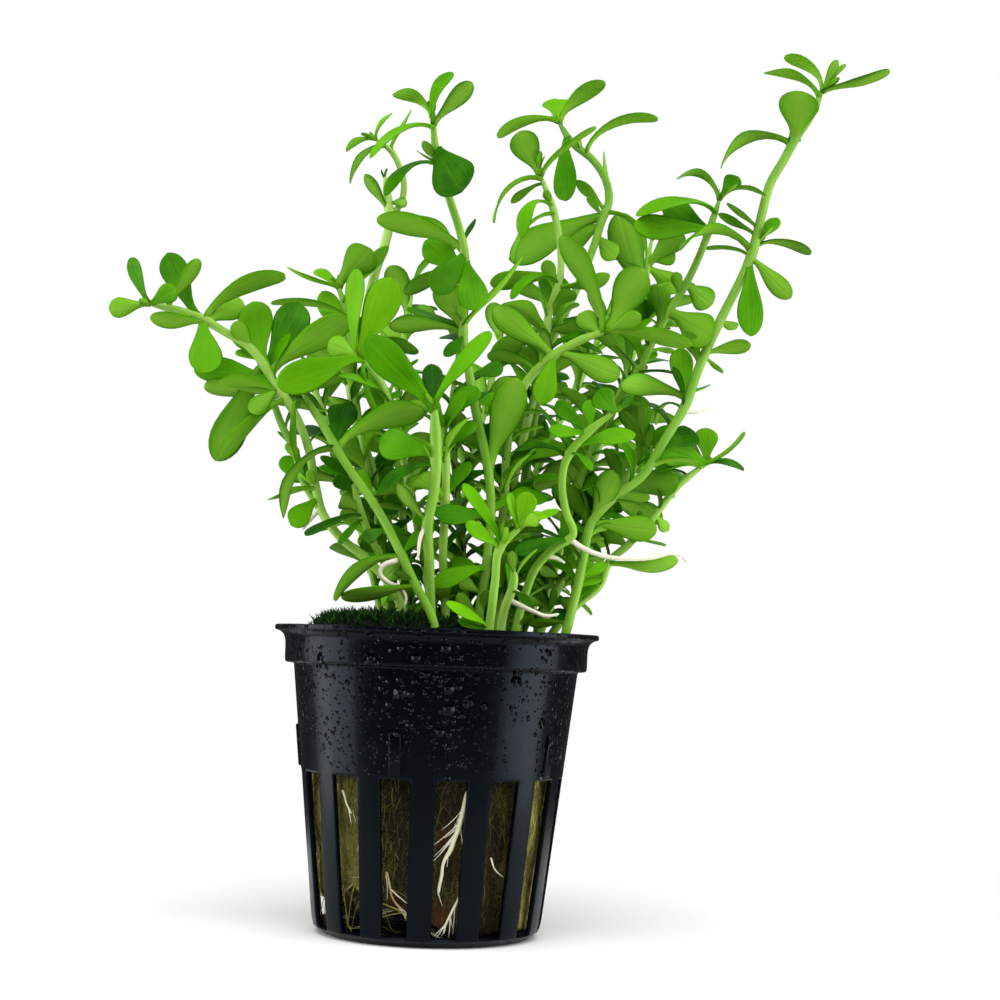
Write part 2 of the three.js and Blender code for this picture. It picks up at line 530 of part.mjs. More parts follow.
function floorSlot(slot) {
  const inside = 0.7;
  const outside = slotWidth(BASE_EDGE_RADIUS) / 2;
  const shape = new THREE.Shape([
    new THREE.Vector2(-inside, -FLOOR_DISC_RADIUS), new THREE.Vector2(-outside, 1 - BASE_EDGE_RADIUS),
    new THREE.Vector2(outside, 1 - BASE_EDGE_RADIUS), new THREE.Vector2(inside, -FLOOR_DISC_RADIUS),
  ]);
  const block = new THREE.ExtrudeGeometry(shape, { depth: 3 * FLOOR_THICKNESS, bevelEnabled: false });
  block.translate(0, 0, -FLOOR_THICKNESS);
  block.rotateZ(degrees(slotTurn(slot)));
  return solidOf(block);
}

// Low rib that follows the slope of the wall
function stackingLug(index) {
  const profile = [LUG_FOOT, LUG_FOOT + LUG_HEIGHT].flatMap((z, end) => {
    const edges = [[wallRadius(z) - WALL_THICKNESS / 2, z], [wallRadius(z) + LUG_RELIEF, z]];
    return end === 0 ? edges : edges.reverse();
  });
  const shape = new THREE.Shape(profile.map(([r, z]) => new THREE.Vector2(r, z)));
  const rib = new THREE.ExtrudeGeometry(shape, { depth: LUG_WIDTH, bevelEnabled: false });
  rib.rotateX(Math.PI / 2);
  rib.translate(0, LUG_WIDTH / 2, 0);
  rib.rotateZ(degrees(slotTurn(-1) - 90 + (360 / LUG_COUNT) * index));
  return solidOf(rib);
}

function makePot() {
  const slots = Array.from({ length: SLOT_COUNT }, (_, slot) => [wallSlot(slot), floorSlot(slot)]).flat();
  const lugs = Array.from({ length: LUG_COUNT }, (_, index) => stackingLug(index));
  return wasm.Manifold.union([potShell(), ...lugs]).subtract(wasm.Manifold.union(slots));
}

// How far the plug is drawn in by its folds, by angle from the front
function foldDepth(turn) {
  return 0.6 + 0.5 * Math.cos(5 * turn + 0.6) * Math.cos(3 * turn) + 0.3 * Math.cos(8 * turn + 2);
}

// The torn bottom edge: high at the left front, on the floor at the right
function woolFoot(turn) {
  const left = Math.max(0, Math.cos(turn + degrees(52)));
  return FLOOR_THICKNESS + GAP + 6.8 * left ** 3 + 0.4 * (1 + Math.cos(7 * turn));
}

function makeWool() {
  const ring = (height, inset) => Array.from({ length: WOOL_SIDES }, (_, k) => {
    const turn = (2 * Math.PI * k) / WOOL_SIDES;
    const z = height ?? woolFoot(turn);
    const radius = wallRadius(z) - WALL_THICKNESS - WOOL_CLEARANCE - inset - foldDepth(turn);
    return point(radius * Math.sin(turn), -radius * Math.cos(turn), z);
  });
  const rings = [ring(undefined, 0.8), ring(10, 0), ring(WOOL_TOP - 2, 0), ring(WOOL_TOP, 1.2)];
  return solidOf(skin(rings));
}

// Low lumpy cushion over the left of the wool
function makeMoss() {
  const foot = WOOL_TOP + GAP;
  const rings = MOSS_LEVELS.map(([rise, reach]) => Array.from({ length: MOSS_SIDES }, (_, k) => {
    const turn = (2 * Math.PI * k) / MOSS_SIDES;
    const lump = 1 + 0.09 * Math.cos(3 * turn + 1) * reach;
    return point(
      MOSS_CENTRE[0] + MOSS_REACH[0] * reach * lump * Math.sin(turn),
      MOSS_CENTRE[1] - MOSS_REACH[1] * reach * lump * Math.cos(turn),
      foot + (MOSS_TOP - foot) * rise * (1 - 0.12 * (1 + Math.cos(4 * turn)) * (1 - reach)),
    );
  }));
  return solidOf(skin(rings));
}

// Stem line in space: the traced places, with depth gained faster towards the tip
function stemLine(shoot) {
  const runs = [0];
  shoot.stem.slice(1).forEach(([u, v], i) => {
    runs.push(runs[i] + Math.hypot(u - shoot.stem[i][0], v - shoot.stem[i][1]));
  });
  const [foot, tip] = shoot.depth;
  return shoot.stem.map(([u, v], i) => traced(u, v, foot + (tip - foot) * (runs[i] / runs.at(-1)) ** 1.3));
}

// Fraction along the stem, counted in points, that lies nearest to a pixel
function nearestOnStem(shoot, u, v) {
  let best = { gap: Infinity, place: 0 };
  for (let i = 0; i + 1 < shoot.stem.length; i += 1) {
    const [[u0, v0], [u1, v1]] = [shoot.stem[i], shoot.stem[i + 1]];
    const run = (u1 - u0) ** 2 + (v1 - v0) ** 2;
    const part = THREE.MathUtils.clamp(((u - u0) * (u1 - u0) + (v - v0) * (v1 - v0)) / run, 0, 1);
    const gap = Math.hypot(u0 + part * (u1 - u0) - u, v0 + part * (v1 - v0) - v);
    if (gap < best.gap) best = { gap, place: i + part };
  }
  return best.place;
}

function onLine(line, place) {
  const i = Math.min(Math.floor(place), line.length - 2);
  const spot = line[i].clone().lerp(line[i + 1], place - i);
  const along = line[i + 1].clone().sub(line[i]).normalize();
  return { spot, along };
}

// Steady pseudo-random number from 0 to 1
function chance(seed) {
  const value = Math.sin(seed * 12.9898 + 78.233) * 43758.5453;
  return value - Math.floor(value);
}

const across90 = (vector, axis) => vector.clone().addScaledVector(axis, -vector.dot(axis)).normalize();

// Pose of a leaf read from the photograph, its tip pushed back by shift along the line of sight
function tracedLeaf(shoot, line, row, shift) {
  const [baseU, baseV, tipU, tipV, widthPixels, depth, arch] = row;
  const { spot, along } = onLine(line, nearestOnStem(shoot, baseU, baseV));
  const tip = traced(tipU, tipV, spot.y + depth + shift);
  const axis = tip.clone().sub(spot).normalize();
  const shown = widthPixels * PIXEL_MM;
  const width = Math.max(shown, LEAST_ASPECT * tip.distanceTo(spot));
  const facing = Math.min(1, shown / width);
  const sight = across90(eye.clone().sub(spot), axis);
  const edge = axis.clone().cross(sight);
  const tilt = Math.sqrt(1 - facing * facing);
  const top = across90(along, axis);
  const normals = [[1, 1], [1, -1], [-1, 1], [-1, -1]].map(([a, b]) => (
    sight.clone().multiplyScalar(a * facing).addScaledVector(edge, b * tilt)));
  const normal = normals.reduce((best, next) => (next.dot(top) > best.dot(top) ? next : best));
  return { base: spot, tip, normal, width, arch, outline: FULL_OUTLINE };
}

// Pose of a leaf in a crosswise pair, turned about the stem by shift
function pairLeaf(line, place, index, seed, shift, tipward) {
  const { spot, along } = onLine(line, place);
  const side = BACK.clone().cross(along).normalize();
  const back = along.clone().cross(side);
  const vary = (range, offset) => range * (chance(seed + offset) - 0.5);
  const order = 90 * Math.floor(index / 2) + 180 * (index % 2);
  const turn = degrees(FIRST_PAIR_TURN + order + vary(TURN_RANGE, 0) + DEGREES_PER_SHIFT * shift);
  const out = side.multiplyScalar(Math.cos(turn)).addScaledVector(back, Math.sin(turn));
  const spread = degrees(SPREAD - TIP_CLOSING * tipward + vary(SPREAD_RANGE, 0.3));
  const length = LEAF_LENGTH * (1 + vary(LENGTH_RANGE, 0.6)) * (1 - TIP_SHORTENING * tipward);
  const tip = spot.clone()
    .addScaledVector(out, length * Math.sin(spread))
    .addScaledVector(along, length * Math.cos(spread))
    .addScaledVector(UP, -DROOP * length);
  const axis = tip.clone().sub(spot).normalize();
  const width = LEAF_ASPECT * length;
  const normal = across90(along, axis).applyAxisAngle(axis, degrees(vary(ROLL_RANGE, 0.9)));
  return { base: spot, tip, normal, width, arch: PAIR_ARCH * length, outline: PLAIN_OUTLINE };
}

// Blade from the stem to its tip: at each station of its outline flat below and ridged above,
// bowed towards its upper face
function leafSolid({ base, tip, normal, width, arch, outline }, spare) {
  const axis = tip.clone().sub(base).normalize();
  const side = axis.clone().cross(normal);
  const half = width / 2 + spare;
  const lift = LEAF_THICKNESS / 2 + spare;
  const at = (t, offset, rise) => base.clone().lerp(tip, t)
    .addScaledVector(side, offset)
    .addScaledVector(normal, 4 * t * (1 - t) * arch + rise);
  const heel = base.clone().addScaledVector(axis, -LEAF_HEEL);
  const stations = outline.map(([t, share]) => (
    [at(t, share * half, -lift), at(t, 0, lift), at(t, -share * half, -lift)]));
  const corners = [heel, ...stations.flat(), tip.clone().addScaledVector(axis, spare)];
  const last = corners.length - 1;
  const faces = [];
  for (let k = 0; k < 3; k += 1) {
    const next = (k + 1) % 3;
    faces.push(0, 1 + k, 1 + next, last, last - 3 + next, last - 3 + k);
    for (let ring = 1; ring + 3 < last; ring += 3) {
      faces.push(ring + k, ring + 3 + next, ring + next, ring + k, ring + 3 + k, ring + 3 + next);
    }
  }
  const geometry = new THREE.BufferGeometry();
  geometry.setAttribute("position", new THREE.Float32BufferAttribute(corners.flatMap((c) => c.toArray()), 3));
  geometry.setIndex(faces);
  return solidOf(geometry);
}

// A root in a groove of the plug, just inside the slats
function slotRoot(path, spare) {
  const line = path.map(([u, v]) => {
    let spot = traced(u, v, -WALL_FOOT_RADIUS);
    for (let pass = 0; pass < 4; pass += 1) {
      const reach = wallRadius(spot.z) - WALL_THICKNESS - GAP - SLOT_ROOT_RADIUS;
      spot = traced(u, v, -Math.sqrt(reach * reach - spot.x * spot.x));
    }
    return spot;
  });
  return tube(line, SLOT_ROOT_RADIUS + spare, 0.7 * SLOT_ROOT_RADIUS + spare, ROOT_SIDES);
}

const placed = [];
function place(owner, solid) {
  const { min, max } = solid.boundingBox();
  placed.push({ owner, solid, box: new THREE.Box3(point(...min), point(...max)) });
}

function isFree(owner, solid) {
  const { min, max } = solid.boundingBox();
  const box = new THREE.Box3(point(...min), point(...max));
  return !placed.some((other) => other.owner !== owner && other.box.intersectsBox(box)
    && !other.solid.intersect(solid).isEmpty());
}

// First of the shifted poses that keeps the gap to every other piece
function growLeaf(owner, poseAt) {
  for (const shift of LEAF_SHIFTS) {
    const pose = poseAt(shift);
    if (isFree(owner, leafSolid(pose, GAP))) {
      const leaf = leafSolid(pose, 0);
      place(owner, leaf);
      return [leaf];
    }
  }
  return [];
}

const pot = makePot();
const stems = {};
const lines = {};
for (const [name, shoot] of Object.entries(SHOOTS)) {
  const [foot, tip] = shoot.thick;
  lines[name] = stemLine(shoot);
  stems[name] = tube(lines[name], foot / 2, tip / 2, STEM_SIDES);
  if (shoot.fork) {
    const parent = SHOOTS[shoot.fork];
    const socket = tube(lines[shoot.fork], parent.thick[0] / 2 + GAP, parent.thick[1] / 2 + GAP, STEM_SIDES);
    stems[name] = stems[name].subtract(socket);
  }
}

const rooted = Object.keys(SHOOTS).filter((name) => !SHOOTS[name].fork);
const sockets = rooted.map((name) => {
  const radius = SHOOTS[name].thick[0] / 2 + GAP;
  return tube(lines[name].slice(0, 3), radius, radius, STEM_SIDES);
});
const grooves = Object.values(SLOT_ROOTS).map((path) => slotRoot(path, GAP));
const cutFrom = (solid, holes) => (
  solid.subtract(wasm.Manifold.union(holes)).asOriginal().simplify(SMOOTHING));
const wool = cutFrom(makeWool(), [...sockets, ...grooves]);
const moss = cutFrom(makeMoss(), sockets);

place("pot", pot);
place("wool", wool);
place("moss", moss);
for (const [name, stem] of Object.entries(stems)) place(name, stem);

const shoots = Object.entries(SHOOTS).map(([name, shoot], number) => {
  const line = lines[name];
  const parts = [stems[name]];
  for (const path of shoot.roots ?? []) {
    const depth = onLine(line, nearestOnStem(shoot, ...path[0])).spot.y;
    const air = path.map(([u, v]) => traced(u, v, depth));
    const root = tube(air, AIR_ROOT_RADIUS, AIR_ROOT_RADIUS / 2, ROOT_SIDES);
    place(name, root);
    parts.push(root);
  }
  for (const row of shoot.leaves ?? []) {
    parts.push(...growLeaf(name, (shift) => tracedLeaf(shoot, line, row, shift)));
  }
  const [first, last, count] = shoot.pairs ?? [0, 0, 0];
  for (let index = 0; index < 2 * count; index += 1) {
    const part = count > 1 ? Math.floor(index / 2) / (count - 1) : 0;
    const spot = (first + (last - first) * part) * (line.length - 1);
    const tipward = last === 1 ? part ** 3 : 0;
    const seed = number * 40 + index;
    parts.push(...growLeaf(name, (shift) => pairLeaf(line, spot, index, seed, shift, tipward)));
  }
  return meshOf(name, fused(parts), { color: 0x4f9a1e, roughness: 0.45 });
});

const model = new THREE.Group();
model.add(meshOf("net_pot", pot, { color: 0x14171b, roughness: 0.35 }));
model.add(meshOf("wool_plug", wool, { color: 0x6f6a24, roughness: 1 }));
model.add(meshOf("moss_cushion", moss, { color: 0x1d2b10, roughness: 1 }));
shoots.forEach((shoot) => model.add(shoot));
for (const [name, path] of Object.entries(SLOT_ROOTS)) {
  model.add(meshOf(name, slotRoot(path, 0), { color: 0xc9bf8e, roughness: 0.6 }));
}

export default model;
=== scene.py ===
"""Compact water hyssop in its net pot: the finished look of every piece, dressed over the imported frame."""
import math
import random

import bpy
import numpy as np
from bpy.props import FloatProperty, FloatVectorProperty, IntProperty, PointerProperty
from bpy.types import Operator, Panel, PropertyGroup
from mathutils import Matrix, Vector, kdtree, noise


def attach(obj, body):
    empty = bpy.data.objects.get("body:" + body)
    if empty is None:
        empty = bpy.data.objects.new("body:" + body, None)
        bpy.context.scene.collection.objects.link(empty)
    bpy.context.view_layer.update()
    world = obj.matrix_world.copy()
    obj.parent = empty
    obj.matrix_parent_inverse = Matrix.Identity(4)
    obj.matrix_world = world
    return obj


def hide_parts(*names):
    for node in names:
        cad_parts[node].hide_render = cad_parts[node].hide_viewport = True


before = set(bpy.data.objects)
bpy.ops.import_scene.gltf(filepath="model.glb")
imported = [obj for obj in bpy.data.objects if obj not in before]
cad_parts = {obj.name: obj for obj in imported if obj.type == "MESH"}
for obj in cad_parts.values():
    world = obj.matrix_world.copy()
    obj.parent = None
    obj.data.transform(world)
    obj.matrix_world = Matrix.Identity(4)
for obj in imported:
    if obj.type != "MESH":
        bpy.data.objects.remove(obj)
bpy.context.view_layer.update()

bl_info = {
    "name": "Water hyssop in a net pot",
    "version": (1, 0, 0),
    "blender": (4, 5, 0),
    "location": "3D View > Sidebar > Hyssop",
    "description": "A compact water hyssop rooted in mineral wool in a slotted net pot",
    "category": "Add Mesh",
}

MM = 0.001
WHOLE_TURN = 2 * math.pi

# Pot, in millimetres
RIM_RADIUS = 27.5
COLLAR_RADIUS = 25.6
COLLAR_FOOT = 44.4
WALL_TOP_RADIUS = 24.05
WALL_FOOT_RADIUS = 19.04
BASE_EDGE_RADIUS = 17.3
FLOOR_THICKNESS = 1.3
WALL_THICKNESS = 1
FOOT_BEND_HEIGHT = 2.5
FOOT_BEND_INSET = 0.35
LIP_FOOT = 49.85
FLOOR_DISC_RADIUS = 7
FLOOR_SLOT_END = 16.3
FLOOR_SLOT_WIDTH = 1.4
SLOT_COUNT = 15
SLOT_TOP = 26.6
SLAT_WIDTH = 4.1
FIRST_SLOT_DEGREES = 8.6
LUG_COUNT = 5
LUG_WIDTH = 2
LUG_HEIGHT = 7
LUG_FOOT = 27.2
LUG_RELIEF = 0.35

# Wool and moss, in millimetres
WOOL_TOP = 47
WOOL_CLEARANCE = 0.4
MOSS_CENTRE = (-8, -4)
MOSS_REACH = (14.2, 14.6)
MOSS_TOP = 52.7
MOSS_FOOT = 47.3
SLOT_ROOT_RADIUS = 0.45
AIR_ROOT_RADIUS = 0.5
HAIR_RADIUS = 0.11
GAP = 0.3

# Leaves, in millimetres
LEAF_LENGTH = 12.5
LEAF_ASPECT = 0.42
LEAST_ASPECT = 0.34
LEAF_SHIFTS = (0, 1.5, -1.5, 3, -3, 5, -5, 7, -7, 9, -9)
DEGREES_PER_SHIFT = 9
TIP_MATCH = 0.12
DEPTH_CURVE = 1.3

# Leaf pairs: degrees round the stem of the first leaf and from pair to pair, degrees away from the
# stem, how much less that is at the stem's tip, and how far turn, spread and roll vary
FIRST_TURN = 45
PAIR_STEP = 90
PAIR_SPREAD = 54
TIP_SPREAD_LOSS = 20
TURN_VARIES = 30
SPREAD_VARIES = 36
ROLL_VARIES = 80
PAIR_ARCH = 0.09
BUD_ARCH = 0.08

# Viewpoint of the photograph, for places read from it in its 1000 x 1000 frame
VIEW_DISTANCE = 326.6
VIEW_HEIGHT = 46.45
VIEW_FOCAL = 1916
VIEW_CENTRE = 500
VIEW_YAW = 0.03
VIEW_PITCH = 0.082
VIEW_ROLL = 0.037
IMAGE_SIDE = 1000
SENSOR_WIDTH = 36
PIXEL_MM = VIEW_DISTANCE / VIEW_FOCAL


def linear(hex_colour):
    """Linear RGBA of an sRGB hex colour."""
    parts = [int(hex_colour[i:i + 2], 16) / 255 for i in (1, 3, 5)]
    return tuple(c / 12.92 if c <= 0.04045 else ((c + 0.055) / 1.055) ** 2.4 for c in parts) + (1.0,)


# Sizes and colours that a user can change

def colour_setting(name, description, hex_colour):
    """A colour property whose default is an sRGB hex colour."""
    return FloatVectorProperty(name=name, description=description, subtype="COLOR", size=4, min=0, max=1,
                               default=linear(hex_colour))


class HYSSOP_PG_pot(PropertyGroup):
    """Finish of the net pot."""
    wall: FloatProperty(name="Wall", description="Thickness of the moulded wall", default=0.9 * MM,
                        min=0.4 * MM, max=1 * MM, subtype="DISTANCE", unit="LENGTH")
    bead_share: FloatProperty(name="Bead share", description="Share of the places that hold a bead",
                              default=0.55, min=0, max=1, subtype="FACTOR")
    black: colour_setting("Black", "Colour of the polypropylene", "#020203")
    worn: colour_setting("Worn black", "Colour where the surface is a little dull", "#050608")


class HYSSOP_PG_ground(PropertyGroup):
    """What the plant is rooted in."""
    strands: IntProperty(name="Wool strands", description="Loose strands on the plug", default=2200,
                         min=0, max=4000)
    moss_shoots: IntProperty(name="Moss shoots", description="Single shoots on the cushion", default=1700,
                             min=0, max=4000)
    wool: colour_setting("Wool", "Olive of the stained mineral wool", "#6c6626")
    # The deep wool colour is also where the painted shade on the plug's front leads; the tuft colour is also
    # what its unshaded sides reach
    wool_dark: colour_setting("Wool, deep", "Colour between its tufts", "#1c1906")
    wool_light: colour_setting("Wool, tufts", "Colour of its paler tufts", "#a39c4e")
    wool_stain: colour_setting("Wool, stain", "Orange-brown patches on the wool", "#57300b")
    strand: colour_setting("Strand", "Colour of the palest strands", "#cfc8a4")
    moss: colour_setting("Moss", "Colour of the cushion", "#1c4a08")
    moss_dark: colour_setting("Moss, deep", "Colour between its shoots", "#020a01")
    moss_tip: colour_setting("Moss, tips", "Colour of its fresh tips", "#4a8420")


class HYSSOP_PG_plant(PropertyGroup):
    """The living plant."""
    blade: FloatProperty(name="Blade", description="Thickness of a leaf blade against the usual one",
                         default=0.75, min=0.5, max=1.5)
    inner_pairs: IntProperty(name="Inner pairs", description="Pairs of small leaves low on each stem",
                             default=16, min=0, max=20)
    leaf: colour_setting("Leaf", "Green of most leaves", "#559c05")
    leaf_young: colour_setting("Leaf, young", "Green of the newest leaves", "#74b814")
    leaf_shade: colour_setting("Leaf, old", "Green of leaves in the shade of others", "#3a7d03")
    leaf_old: colour_setting("Leaf, oldest", "Darkest green", "#1b4e02")
    # Painted sheen: a paler, greyer green mixed over the leaves in soft patches
    painted_sheen: colour_setting("Painted sheen", "Paler green where a leaf shines dully", "#62a024")
    stem: colour_setting("Stem", "Pale green of the stems", "#8cc03c")
    stem_shade: colour_setting("Stem, streaks", "Darker streaks along a stem", "#6aa325")
    stem_light: colour_setting("Stem, light", "Lightest stretches of a stem", "#abd668")
    root: colour_setting("Root", "Colour of a young root", "#cfcaa2")
    root_light: colour_setting("Root, tip", "Palest part of a root", "#ecead4")
    root_brown: colour_setting("Root, dry", "Browned part of a root", "#8a7238")


class HYSSOP_PG_stage(PropertyGroup):
    """Floor, light and camera."""
    floor: colour_setting("Floor", "Colour of the floor", "#fbfbfa")
    light: FloatProperty(name="Light", description="Strength of the soft lamps", default=1, min=0, max=4)


# Shoots and roots read from the photograph

